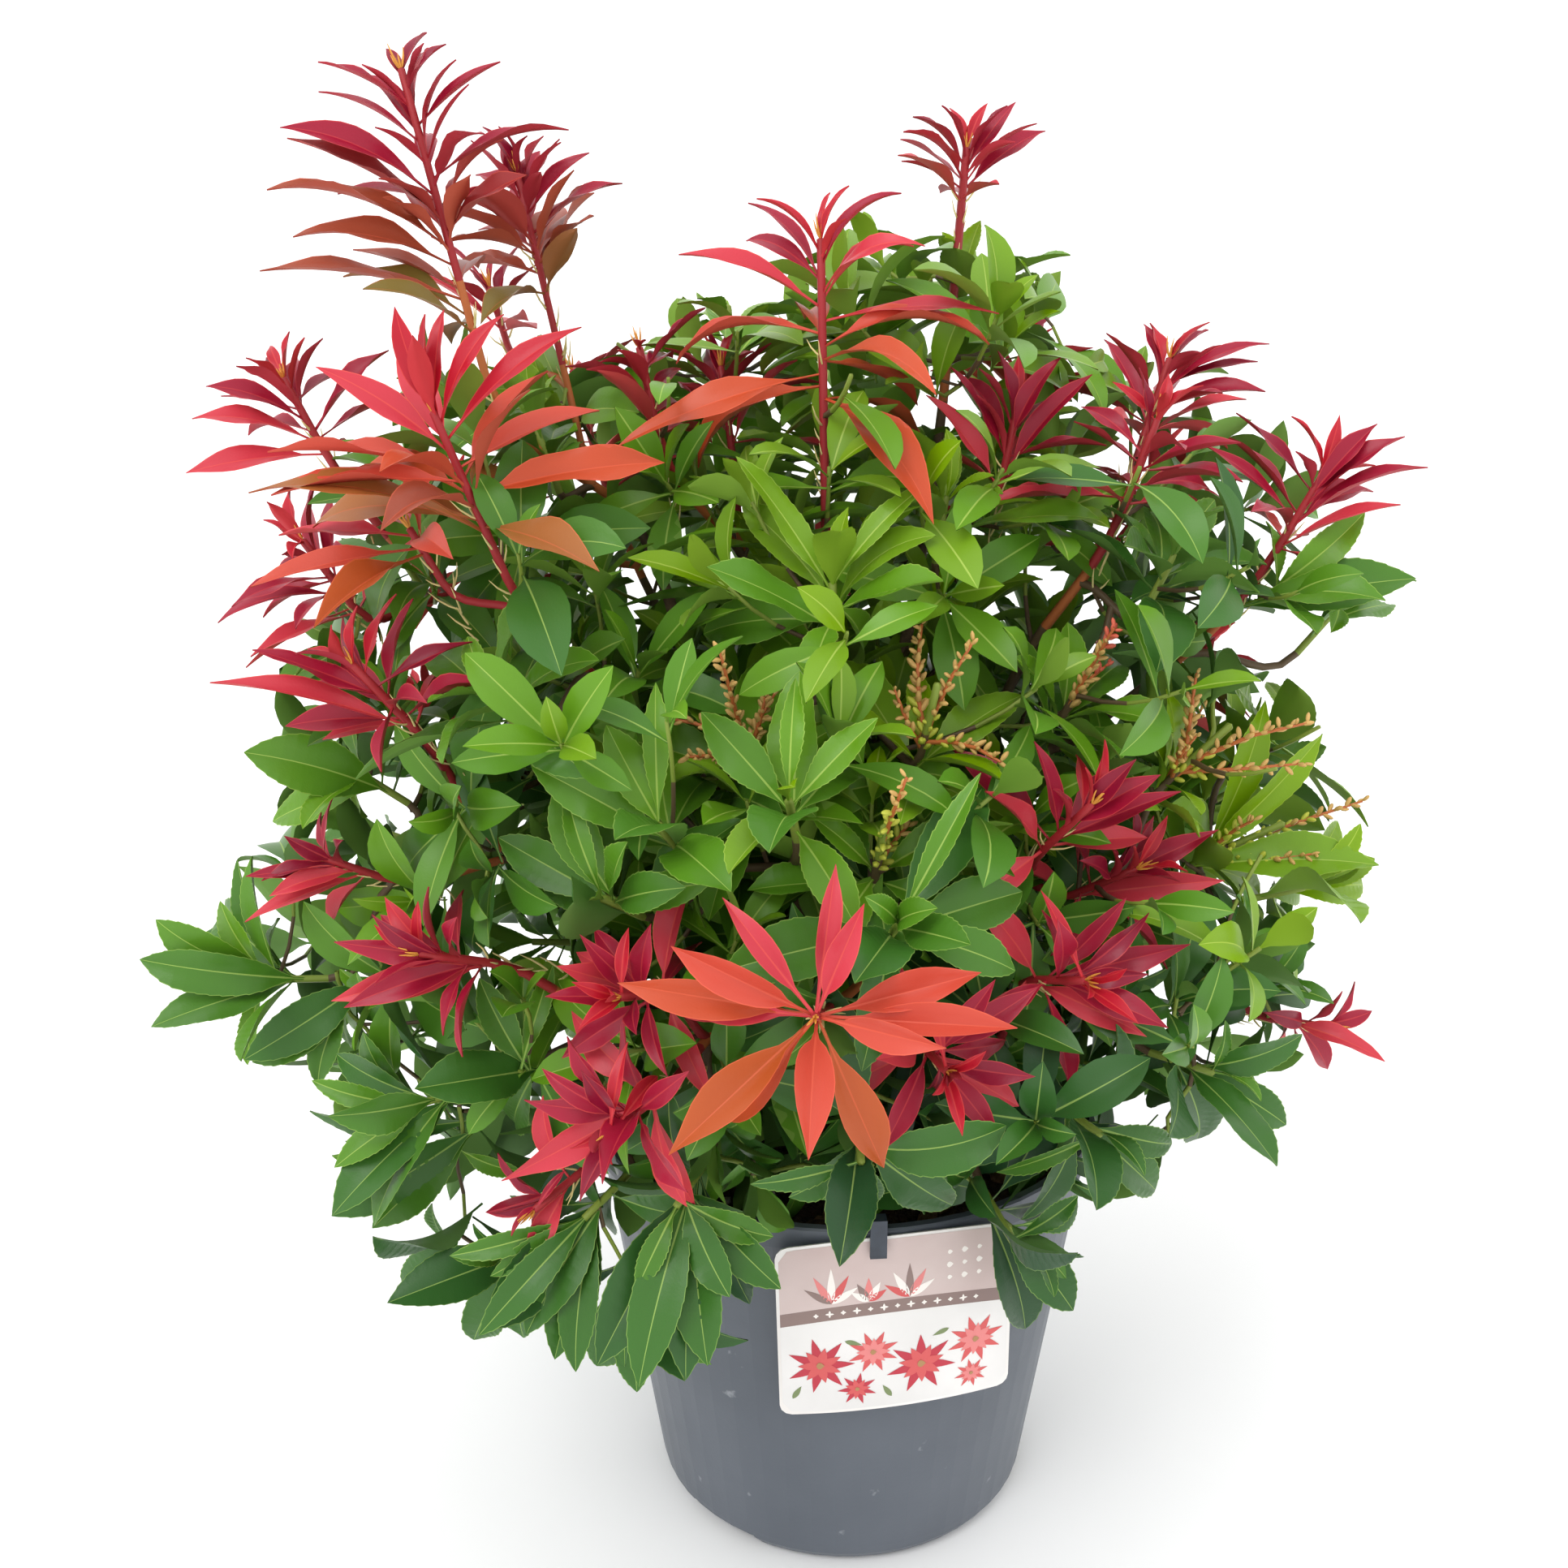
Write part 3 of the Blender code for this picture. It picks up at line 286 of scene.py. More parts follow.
# Green whorls between them: a pixel of the photo, and how far back its ray is followed, as Y in metres.
SEEN_WHORLS = (
    (400, 930, -0.05), (480, 880, -0.08), (430, 790, -0.06), (560, 1000, -0.12), (520, 1110, -0.10),
    (600, 1080, -0.13), (420, 1235, -0.07), (470, 1220, -0.10), (640, 1320, -0.14), (560, 1415, -0.11),
    (460, 1300, -0.07), (560, 1240, -0.12), (560, 1530, -0.11), (640, 1560, -0.13), (775, 1590, -0.17),
    (930, 1450, -0.14), (1010, 1440, -0.13), (1100, 1440, -0.14), (1190, 1450, -0.15), (1262, 1522, -0.16),
    (880, 1400, -0.15), (1060, 1350, -0.14), (1150, 1380, -0.16), (1300, 1440, -0.14), (1440, 1400, -0.12),
    (1450, 1230, -0.13), (1520, 1180, -0.10), (1560, 1215, -0.08), (1520, 1310, -0.10), (1572, 1092, -0.05),
    (1480, 720, -0.03), (1500, 850, -0.06), (1400, 650, 0.03), (625, 1545, -0.145), (330, 1190, -0.05),
    (1575, 725, -0.03), (860, 440, 0.05), (920, 420, 0.05), (1090, 330, 0.05), (1140, 350, 0.03),
    (1200, 340, 0.05), (1290, 380, 0.03), (1340, 450, 0.03), (1060, 440, 0.03), (1240, 430, 0.0),
    (1150, 480, -0.02), (820, 520, 0.03), (690, 500, 0.02))
WHORL_APART = 0.016  # from the next whorl
WHORL_TIPS = {  # where the leaves of some of these whorls end in the photo
    (625, 1545): ((475, 1606), (583, 1653), (645, 1650), (551, 1548)),
    (560, 1530): ((455, 1525), (500, 1590), (530, 1480)),
    (560, 1415): ((377, 1369), (406, 1500), (457, 1515), (441, 1264), (406, 1424), (643, 1443)),
    (640, 1320): ((507, 1342), (635, 1385), (589, 1202), (682, 1187)),
    (420, 1235): ((297, 1308), (305, 1313), (390, 1342), (433, 1290)),
    (330, 1190): ((250, 1150), (274, 1113), (292, 1058), (345, 1130)),
    (1575, 725): ((1749, 712), (1714, 740), (1624, 782), (1687, 626), (1560, 640)),
    (775, 1590): ((845, 1704), (735, 1684), (785, 1718), (877, 1682)),
    (1262, 1522): ((1264, 1640), (1324, 1617), (1333, 1547), (1330, 1472), (1300, 1600)),
    (1572, 1092): ((1592, 950), (1636, 902), (1676, 994), (1528, 998), (1500, 1038), (1522, 1124)),
}

# Where the crown ends against the sky in the photo, as its pixels, from the pot's left side to its right.
SKYLINE = (
    (800, 1700), (780, 1725), (760, 1690), (700, 1700), (655, 1690), (580, 1660), (575, 1620), (510, 1630),
    (465, 1605), (560, 1530), (590, 1515), (530, 1490), (455, 1525), (400, 1505), (440, 1450), (400, 1410),
    (370, 1360), (425, 1355), (385, 1340), (390, 1318), (295, 1318), (300, 1275), (180, 1272), (155, 1180),
    (180, 1120), (245, 1150), (268, 1103), (290, 1060), (340, 1005), (335, 960), (290, 925), (340, 890),
    (245, 845), (300, 800), (255, 770), (320, 710), (320, 640), (220, 585), (225, 500), (240, 440),
    (300, 430), (320, 410), (380, 400), (445, 420), (490, 430), (440, 350), (300, 340), (310, 225),
    (330, 150), (380, 70), (450, 60), (525, 30), (560, 50), (620, 70), (600, 140), (710, 150), (775, 225),
    (735, 275), (690, 330), (660, 395), (725, 395), (665, 445), (720, 440), (760, 415), (830, 415),
    (785, 375), (860, 355), (930, 370), (975, 345), (825, 310), (910, 290), (920, 235), (1005, 222),
    (1050, 218), (1065, 255), (1125, 225), (1085, 268), (1190, 275), (1100, 190), (1105, 155), (1160, 122),
    (1255, 118), (1295, 160), (1210, 260), (1235, 290), (1325, 308), (1310, 345), (1325, 368), (1295, 410),
    (1310, 430), (1360, 405), (1415, 392), (1445, 415), (1495, 390), (1575, 420), (1570, 485), (1545, 495),
    (1600, 505), (1655, 505), (1740, 533), (1770, 573), (1730, 625), (1640, 675), (1700, 690), (1757, 712),
    (1715, 750), (1640, 745), (1625, 790), (1610, 750), (1560, 765), (1530, 800), (1560, 820), (1605, 845),
    (1600, 880), (1640, 900), (1635, 935), (1720, 955), (1680, 990), (1712, 1072), (1690, 1095),
    (1640, 1105), (1690, 1143), (1620, 1130), (1625, 1170), (1605, 1200), (1665, 1205), (1700, 1240),
    (1650, 1265), (1715, 1308), (1640, 1325), (1610, 1300), (1570, 1345), (1595, 1390), (1580, 1445),
    (1530, 1420), (1500, 1400), (1455, 1410), (1430, 1470), (1360, 1500), (1340, 1550), (1330, 1640),
    (1330, 1930), (800, 1930))
# The part of the label that no leaf hides in the photo.
LABEL_SEEN = ((935, 1570), (990, 1510), (1245, 1505), (1248, 1740), (925, 1745))
# Gaps through which the photo shows the sky: left, top, right and foot of each, as its pixels.
SKY_GAPS = (
    (620, 1136, 702, 1188), (710, 580, 744, 608), (424, 628, 452, 652), (386, 692, 420, 730),
    (456, 970, 512, 1008), (1412, 1368, 1452, 1394), (596, 1456, 618, 1474), (1146, 462, 1176, 526),
    (1370, 556, 1410, 578), (590, 345, 645, 440))
SIGHT_DEPTHS = (0.45, 0.60, 0.75, 0.90, 1.05, 1.20, 1.35)  # metres from the camera

# ------------------------------------------------------- sizes of the dressed plant

DRESS_SEED = 5
MOST_TRIANGLES = 180_000  # in one joined piece

# Finer twigs fork from the limbs and leading twigs, wherever there is room for one more whorl.
SIDE_SPACING = 0.038  # least distance between two whorls inside the crown
SKIN_SPACING = 0.046  # and at its skin, where they are larger
SIDE_SHARES = (0.12, 0.85)  # where on a leading twig they fork off
SIDE_ANGLES = (30.0, 75.0)  # degrees from the twig that carries them
SIDE_LENGTHS = (0.030, 0.066)
SIDE_TRIES = 60  # for each twig or bough
SIDE_OUTWARD = 0.6  # how much a finer twig turns away from the crown's heart, and up
SIDE_RISE = 0.35
SEEN_FOLLOW = 0.5  # how much one to a whorl that the photo shows follows its carrier, and turns up
SEEN_RISE = 0.4
SIDE_RADIUS = 0.0014
SIDE_TIP_RADIUS = 0.0011
SIDE_LOWEST = 0.226
OUTER_DEPTH = 0.72  # share of the crown's radius beyond which a whorl is in plain view
CROWN_RADII = Vector((0.238, 0.215, 0.238))  # the crown that finer twigs fill
CROWN_SQUARENESS = 2.6  # 2 would make it an ellipsoid
SIGHT_REACH = 0.25  # how far before a leaf that the photo shows nothing may hide it

# The bark on the trunk and boughs.
BARK_STEP = 0.004
BARK_LEAST_STEPS = 8
BARK_SIDES = 14
BARK_RELIEF = 0.16  # share of the radius
BARK_LENGTHS = 70  # furrows a metre along a limb
BARK_ROUND = 2.2  # radius, in cells of the noise, of the circle on which it is read round a limb
BARK_APART = 7.3  # cells between one limb's noise and the next one's
BARK_FINE = 2.7  # how much finer the second noise is
BARK_FINE_SHARE = 0.5  # and how deep, beside the first
BARK_END = (0.5, 0.1)  # how far a limb's end stands out, in its radii, and the share of its radius there

# Chips of bark and grit on the compost.
CHIPS = 420
CHIP_SIZES = (0.004, 0.010)
CHIP_REACH = 0.128
CHIP_NEAREST = 0.022  # to the trunk's middle
CHIP_KINDS = (0, 0, 0, 1, 1, 2)  # dark, brown and grit, as often as they lie there
GRIT = 2
GRIT_SIZE = 0.5  # beside a chip's
CHIP_THICKNESS = (0.35, 0.7)  # share of its size
CHIP_STRETCH = (1.0, 2.4)  # how much longer than wide
GRIT_STRETCH = (1.0, 1.2)
CHIP_SIDES = 7
CHIP_FALL_FROM = 0.3  # height from which its place on the compost is sought
CHIP_TILT = 0.25
CHIP_ROUGHNESS = 0.06  # share of its size by which each point strays
CHIP_FORM = ((-0.3, 0.45), (0.35, 0.5), (1, 0.36), (1.02, 0.02))  # height by thickness, radius by size

# The line near the label's top edge that leaves mustn't hide.
LABEL_LINE_DOWN = 0.006
LABEL_LINE_SHARES = (-0.48, -0.2, 0.1, 0.48)  # of the label's width, across from its middle
LABEL_LINE_LIFT = 0.001

# The print on the card.
CARD_GRAIN = (1500, 0.00005, 0.3)  # grains a metre, their depth and strength
PRINT_MARGIN = 0.0016
PRINT_HALF = LABEL_WIDTH / 2 - PRINT_MARGIN
INK_LIFT = 0.00008  # from one layer of ink to the next
FIELD_COLUMNS = 29
BAND_TOP, BAND_MIDDLE, BAND_FOOT = 0.0385, 0.0424, 0.0462  # of the taupe band, at the card's sides
BAND_ARCH = 0.005  # how far its middle rises
BAND_MARKS = 13
BAND_MARK_SPACING = 0.0066
BAND_MARK_WIDTH = 0.0012
BAND_MARK_LENGTHS = (0.0014, 0.0022)
FANS = ((-0.032, 0.021), (-0.014, 0.014), (0.006, 0.020))  # place across and reach
FAN_DOWN = 0.033
FAN_INKS = ("cream", "coral_ink", "cream", "rose_ink", "taupe")
FAN_ANGLES = (35, 27.5)  # the first petal's, and the step to the next
FAN_TAPER = 0.12
FAN_WIDTH = 0.0042
DOT_PLACE = (0.026, 0.010)  # of a square of dots, three by three
DOT_SPACING = 0.0075
DOTS_ACROSS = 3
DOT_RADII = (0.0013, 0.0017)
ROSETTES = (  # places across and down, and reach
    (-0.038, 0.070, 0.017), (-0.012, 0.064, 0.013), (0.012, 0.075, 0.018), (0.040, 0.066, 0.015),
    (-0.020, 0.086, 0.010), (0.038, 0.087, 0.009))
ROSETTE_INKS = (("crimson_ink", "coral_ink"), ("coral_ink", "rose_ink"))
ROSETTE_PETALS = (7, 8)
ROSETTE_TURN = 20  # degrees from one to the next
ROSETTE_INNER = 0.35  # how much shorter the inner ring's petals are
PETAL_WIDTH = 0.30  # share of reach
PETAL_ROWS = 9
PETAL_POWER = 0.8  # below 1, a petal is widest nearer its root
PETAL_TAPER = 0.2
DOT_WIDTH = 2.2  # radii, which makes it look round
HEART = 0.12  # radius of a rosette's middle, as a share of reach
SPRIGS = (  # places across and down, and degrees
    (-0.052, 0.090, 60), (-0.003, 0.093, 120), (0.026, 0.056, 200), (-0.026, 0.056, 340))
SPRIG_SIZE = (0.009, 0.0032)

# The studio.
SKY_STRENGTH = 1.30
SUN_PLACE = Vector((-1.0, -1.6, 2.6))
SUN_AIM = Vector((0, 0, 0.4))
SUN_STRENGTH = 0.9
SUN_SPREAD = math.radians(28)
FLOOR_HALF = 40.0

# One leaf.
PETIOLE_HALF = 0.0007
RIB_HALF = 0.00042
MARGIN = 0.00036
BLADE_THICKNESS = 0.0006
TEETH = 10
TOOTH = 0.00022  # how far a tooth stands out of a green leaf's margin
QUILT = 0.00036  # rise of the blade between two side veins
BASE_POWER = 1.15  # of the share from the blade's base
TIP_POWERS = {"green": 0.95, "red": 1.25}  # of the share from its tip; a larger one draws the tip out
LEAF_LOWEST = 0.150
LEAF_GRAIN = (900, 0.00012)  # cells of its skin a metre, and their depth
STEM_GRAIN = (1400, 0.0002)
TEETH_FROM, TEETH_TO = 0.24, 0.93  # shares of the leaf's length
TOOTH_SLOPE = 0.8  # share of a tooth's length at which it stands out most
BEFORE_TEETH, AFTER_TEETH = (0.0, 0.05, 0.11, 0.17), (0.97, 1.0)
RISE_AT_ROOT = 0.42  # share of a leaf's bend by which it first rises
BEND_POWER = 1.4
TIP_TAPER = 8  # over the last eighth of its length it may narrow
TIP_LEAST = 0.1  # to this share of the petiole's half width
RELIEF_HALF = 0.004  # half width from which teeth and quilting are full
RIB_TAPER = 1.3  # how wide the midrib is at the root, and it is 1 narrower at the tip
RIB_SHARE = 0.35  # most of the half width that the midrib takes
COARSE_RIB_SHARE = 0.3  # the same for coarse leaves
MARGIN_SHARE = 0.12  # most of it that the margin takes
WAVES = 1.6  # along a blade's margin
WAVE_LAG = 1.3  # radians between its two margins
MARGIN_CURL = 0.12  # how far the margins turn down, as a share of the half width
HALVES, CURL_AT, QUILT_AT = (0, 0.5, 1), (0, 0.25, 1), (0, 1, 0)  # from the midrib to the margin
GROOVE = 0.00015  # depth of the midrib's groove
GROOVE_HALF = 0.3  # share of the half width
UPPER, UNDER, RIB, EDGE = range(4)  # what a quad of a leaf is, in the order of its tone's materials
BLADE_POINTS = (-2, 3, 5, 6, 8, 9, 11)  # of a leaf's outline: its tip and both sides of its blade
LEAST_FACE = 0.2  # least part of the wanted normal that stands off the leaf's own direction

# One whorl of leaves.
LEAF_BELOW_TIP = 0.001  # how far below a whorl's tip its topmost leaf is rooted
LENGTH_POWER = 1.6  # how late the leaves get shorter up a whorl
SPREAD_POWER = 1.1  # and how late they get steeper
LENGTH_SPREAD = (0.84, 1.10)
SEEN_LENGTH_SPREAD = (0.92, 1.06)
ANGLE_SPREAD = 9  # degrees
LEAST_ANGLE = 8
WIDTH_SPREAD = (0.88, 1.12)
BEND_SPREAD = (0.4, 1.5)
FOLD_SPREAD = (0.6, 1.3)
TWIST = 0.6  # radians, most
LEAST_WAVE = 0.02
MOST_WAVE = {"green": 0.24, "red": 0.36}
SEEN_TRIES = ((1, 1), (1, -1), (0.9, 1), (0.9, -1))  # share of length; nearer the camera or further

LEAF_TRIES = (  # share of length, degrees round the stem, degrees away from it
    (1, 0, 0), (1, 0, -12), (1, 0, 12), (0.95, 14, -6), (0.95, -14, -6), (0.9, 24, -20), (0.9, -24, -20),
    (0.8, 10, 18), (0.8, -10, -30), (0.72, 32, 4), (0.66, -32, -12))


class Look(NamedTuple):
    """How one kind of whorl is dressed, from its lowest leaves to its topmost."""

    leaves: int
    long: float  # the lowest leaves
    short: float  # the topmost leaves
    width: float  # share of length
    zone: float
    low_spread: float  # degrees between the lowest leaf and the stem
    high_spread: float
    bend: float  # radians that a leaf curves down over its length
    fold: float  # rise of its margins over its midrib, for each metre of half width
    petiole: float  # share of length
    tones: tuple  # from the lowest leaves to the topmost


LOOKS = {
    "spire": Look(40, 0.064, 0.026, 0.26, 0.115, 92, 18, 0.70, 0.55, 0.13,
                  ("olive", "russet", "russet", "brick", "crimson", "crimson", "crimson", "garnet")),
    "tower": Look(22, 0.092, 0.026, 0.190, 0.075, 118, 18, 0.95, 0.60, 0.12,
                  ("orange", "orange", "coral", "rose", "rose", "crimson", "scarlet")),
    "fan": Look(26, 0.090, 0.044, 0.22, 0.055, 104, 20, 0.75, 0.60, 0.12,
                ("tan", "russet", "orange", "coral", "rose", "scarlet", "scarlet")),
    "star": Look(10, 0.078, 0.046, 0.225, 0.012, 96, 28, 0.60, 0.80, 0.20,
                 ("amber", "coral", "orange", "coral", "coral", "rose", "rose")),
    "crimson": Look(19, 0.060, 0.026, 0.230, 0.040, 96, 20, 0.62, 0.60, 0.14,
                    ("rose", "crimson", "crimson", "crimson", "garnet", "scarlet")),
    "sprig": Look(10, 0.046, 0.020, 0.25, 0.022, 88, 20, 0.55, 0.55, 0.14,
                  ("rose", "crimson", "garnet", "crimson")),
    "green": Look(12, 0.076, 0.034, 0.335, 0.022, 100, 20, 0.75, 0.45, 0.10, ()),
    "buds": Look(9, 0.070, 0.050, 0.335, 0.016, 96, 50, 0.75, 0.45, 0.10, ()),
    "side": Look(8, 0.068, 0.036, 0.34, 0.014, 96, 24, 0.75, 0.45, 0.10, ()),
    "inner": Look(7, 0.062, 0.040, 0.34, 0.012, 96, 30, 0.60, 0.30, 0.10, ()),
}

TONES = {  # sRGB
    "lime": (118, 156, 0), "spring": (112, 152, 28), "fresh": (96, 144, 26), "grass": (83, 132, 28),
    "leaf": (70, 118, 32), "deep": (56, 103, 34), "forest": (46, 89, 35), "blue": (37, 74, 38),
    "olive": (124, 106, 46), "tan": (160, 98, 48), "russet": (156, 70, 46), "brick": (150, 44, 44),
    "amber": (178, 82, 36), "orange": (192, 76, 42), "coral": (200, 76, 58), "rose": (200, 56, 70),
    "scarlet": (182, 24, 44), "crimson": (156, 20, 50), "garnet": (132, 13, 44),
}
# Painted light and shade: green whorls near these places are dealt paler or darker tones.
LIT_PLACES = (  # where the photo's leaves are paler or darker: its pixel, how many round it, by how much
    ((1000, 430), 300, 0.36), ((1000, 850), 230, 0.24), ((700, 780), 150, 0.10), ((340, 880), 120, 0.25),
    ((1640, 1000), 110, 0.15), ((600, 1640), 110, 0.22), ((1490, 1390), 90, 0.10),
    ((1450, 620), 150, -0.10), ((1380, 1100), 150, 0.10), ((1000, 1000), 130, 0.15),
    ((1250, 880), 120, 0.20), ((500, 560), 110, 0.15), ((860, 1240), 200, 0.20), ((420, 1250), 150, 0.20),
    ((830, 1430), 220, 0.08), ((1210, 350), 180, 0.50), ((480, 1100), 230, 0.26))
LIT_DEPTH = 0.16  # how far back, as Y in metres, they reach
LIGHT_AT_FOOT = 0.21  # painted light: how bright the crown's lowest green leaves are painted, from 0 to 1
LIGHT_GAIN = 0.47  # painted light that they gain from the crown's foot to its top
CROWN_FOOT = 0.22
CROWN_HEIGHT = 0.45
SKIN_SHADE = 0.35  # painted shade: how much darker whorls are painted at the crown's skin than inside it
SHADE_FROM = 0.85  # the depth at which they are neither
LIGHT_SPREAD = 0.20  # between one whorl and the next
DARKEST_TONE = 6.6  # place among the green tones of a whorl with no light, and how many of them light spans
TONE_SPAN = 5.8
TONE_STEPS = (1, 0, 0, -1)  # from a whorl's lowest leaves to its topmost
LIME_TONES = ("spring", "lime", "lime")  # of the crown's right tip
LIME_FROM_X = 0.16
LIME_TO_Y = 0.05
LIME_HEIGHTS = (0.356, 0.470)
GREEN_TONES = ("lime", "spring", "fresh", "grass", "leaf", "deep", "forest", "blue")
GREEN_RIB = (186, 206, 110)
GREEN_UNDER = (150, 176, 104)
RED_RIB = (236, 110, 80)
RED_UNDER = (220, 104, 90)
GREEN_RIB_SHARE, RED_RIB_SHARE = 0.60, 0.34  # of the rib's own colour in a tone's rib
UNDER_SHARE = 0.40
RIB_IN_MARGIN = 0.44  # share of the rib's colour in a leaf's margin

STEM_TONES = {  # sRGB
    "wood": (96, 78, 56), "green_stem": (128, 146, 58), "orange_stem": (186, 104, 56),
    "red_stem": (160, 40, 46), "bract": (222, 206, 140), "tuft": (226, 160, 70), "bead": (206, 166, 98),
    "bead_green": (190, 194, 72), "bead_red": (214, 100, 78),
}
WOODY = ((0.030, "green_stem"), (1.0, "wood"))  # a stem's tones, each with how far back from its tip it goes
REDDISH = {  # how far back from its tip a red shoot's stem is red, and then orange
    "spire": (0.080, 0.240), "tower": (0.200, 0.240), "fan": (0.150, 0.190), "star": (0.060, 0.100),
    "crimson": (0.080, 0.120), "sprig": (0.050, 0.090),
}
PANICLES = {  # by mass, tones of the flower buds from the foot up and how many side spikes they have
    "front_star": (("bead_green", "bead_green", "bead_green", "bead"), 1),
    "right_tip": (("bead_green", "bead_green", "bead"), 2),
    "right_shoulder": (("bead", "bead", "bead", "bead_red"), 1),
}
COMMON_PANICLE = (("bead_green", "bead", "bead", "bead"), 4)
PANICLE_BELOW = 0.042  # how far a head of flower buds reaches below its shoot's tip
PANICLE_ABOVE = 0.026
SPIKE_LENGTHS = (0.030, 0.050)
SPIKE_SPACING = 0.004
SPIKE_ANGLES = (28, 58)  # degrees from the leading spike
SPIKE_LEAN = 0.25
SPIKE_RADII = (0.0013, 0.0011, 0.0009, 0.0006)
BEAD = 0.0026
BEAD_SPREAD = (0.8, 1.2)
BEAD_AT_FOOT = 1.1  # times that at a spike's foot
BEAD_TAPER = 0.35  # and this much less at its tip
BEAD_SPACING = 0.0021
BEAD_ANGLES = (25, 60)
BEAD_STALK = 0.0008
BEAD_FORM = ((-1.1, 0.22), (-0.5, 0.5), (0.4, 0.5), (1.0, 0.25))  # shares of its size: along it, and radius
FIRST_BEAD = 2  # the foot of a spike is bare up to it
BEAD_TONE_SPREAD = 0.1  # how far, as a share of the spike, two tones mix

BRACTS = 12  # on each red shoot's stem below its leaves
BRACT_FROM = 0.7  # share of the leafy length
BRACT_BELOW = 0.050
BRACT_LENGTHS = (0.007, 0.013)
BRACT_ANGLES = (20, 60)
BRACT_RADIUS = 0.0006
TUFT_SCALES = 5
TUFT_LENGTHS = (0.004, 0.009)
TUFT_ANGLES = (5, 35)
TUFT_RADIUS = 0.0007
THREAD_FORM = ((0, 0, 0.7), (0.35, 0, 1), (0.7, 0.12, 0.8), (0.95, 0.38, 0.25))  # along, drooping, radius
THIRDS = (0, 0.33, 0.67, 1.0)
TUBE_END = 0.6  # how far a stem's round tip stands out, in its radii
TUBE_POINT = 0.05  # and the share of its radius that it ends in
THREAD_SIDES, BEAD_SIDES, SPIKE_SIDES = 4, 5, 6


# ------------------------------------------------------- joined pieces


class Heap:
    """Points and faces of one kind of thing, made into objects of under MOST_TRIANGLES each."""

    def __init__(self, name, slot, materials, replaced=()):
        self.name, self.slot, self.materials, self.replaced = name, slot, materials, replaced
        self.index = {made.name: i for i, made in enumerate(materials)}
        self.parts = [[]]
        self.triangles = 0

    def add(self, points, quads, kinds):
        """Takes an (n, 3) array of points, an (m, 4) array of their numbers and each quad's material."""
        if self.triangles + 2 * len(quads) > MOST_TRIANGLES:
            self.parts.append([])
            self.triangles = 0
        self.triangles += 2 * len(quads)
        self.parts[-1].append((points, quads, kinds))

    def make(self):
        """Makes the objects, which ride on the body."""
        for number, part in enumerate(self.parts, 1):
            name = self.name if len(self.parts) == 1 else f"{self.name}_{number}"
            obj = joined(name, part, self.materials)
            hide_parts(*self.replaced)
            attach(obj, BODY)


def in_scene(name, data):
    """A new object in the scene."""
    obj = bpy.data.objects.new(name, data)
    bpy.context.scene.collection.objects.link(obj)
    return obj


def joined(name, part, materials):
    """One smooth-shaded object from a list of (points, quads, kinds)."""
    starts = np.cumsum([0] + [len(points) for points, _, _ in part[:-1]])
    points = np.concatenate([points for points, _, _ in part]).astype(np.float32)
    quads = np.concatenate([quads + start for (_, quads, _), start in zip(part, starts)]).astype(np.int32)
    kinds = np.concatenate([kinds for _, _, kinds in part]).astype(np.int32)
    mesh = bpy.data.meshes.new(name)
    mesh.vertices.add(len(points))
    mesh.vertices.foreach_set("co", points.ravel())
    mesh.loops.add(quads.size)
    mesh.loops.foreach_set("vertex_index", quads.ravel())
    mesh.polygons.add(len(quads))
    mesh.polygons.foreach_set("loop_start", np.arange(0, quads.size, 4, dtype=np.int32))
    mesh.polygons.foreach_set("material_index", kinds)
    mesh.polygons.foreach_set("use_smooth", np.ones(len(quads), bool))
    for material in materials:
        mesh.materials.append(material)
    mesh.update(calc_edges=True)
    return in_scene(name, mesh)


def grid_quads(rows, columns, start=0):
    """Quads between the points of a grid that is numbered row by row."""
    i, j = np.divmod(np.arange((rows - 1) * (columns - 1)), columns - 1)
    first = start + i * columns + j
    return np.stack([first, first + 1, first + columns + 1, first + columns], axis=1)


def tube_quads(rings, sides):
    """Quads between successive rings of points."""
    i, j = np.divmod(np.arange((rings - 1) * sides), sides)
    k = (j + 1) % sides
    return np.stack([i * sides + j, i * sides + k, (i + 1) * sides + k, (i + 1) * sides + j], axis=1)


# ------------------------------------------------------- the source's limbs and leading twigs


def curve_points(start, start_way, end, end_way, steps):
    """Points on a cubic curve that leaves start along start_way and reaches end along end_way."""
    reach = (end - start).length * CURVE_REACH
    a, b = start + start_way.normalized() * reach, end - end_way.normalized() * reach
    points = []
    for i in range(steps + 1):
        t = i / steps
        s = 1 - t
        points.append(s**3 * start + 3 * s * s * t * a + 3 * s * t * t * b + t**3 * end)
    return points


def ring_faces(rings, sides):
    """The faces of a closed tube: its two ends, and the quads between its rings."""
    ends = [tuple(range(sides))[::-1], tuple(range((rings - 1) * sides, rings * sides))]
    return ends + tube_quads(rings, sides).tolist()


def tube(path, radii, sides, start_way):
    """A closed tapering tube, as (points, faces), whose flat first end lies across start_way."""
    points = []
    across = start_way.normalized().orthogonal().normalized()
    for i, centre in enumerate(path):
        way = path[min(i + 1, len(path) - 1)] - path[i - 1] if i else start_way
        way = way.normalized()
        across = (across - way * across.dot(way)).normalized()
        other = way.cross(across)
        for j in range(sides):
            angle = math.tau * j / sides
            points.append(centre + radii[i] * (math.cos(angle) * across + math.sin(angle) * other))
    return points, ring_faces(len(path), sides)


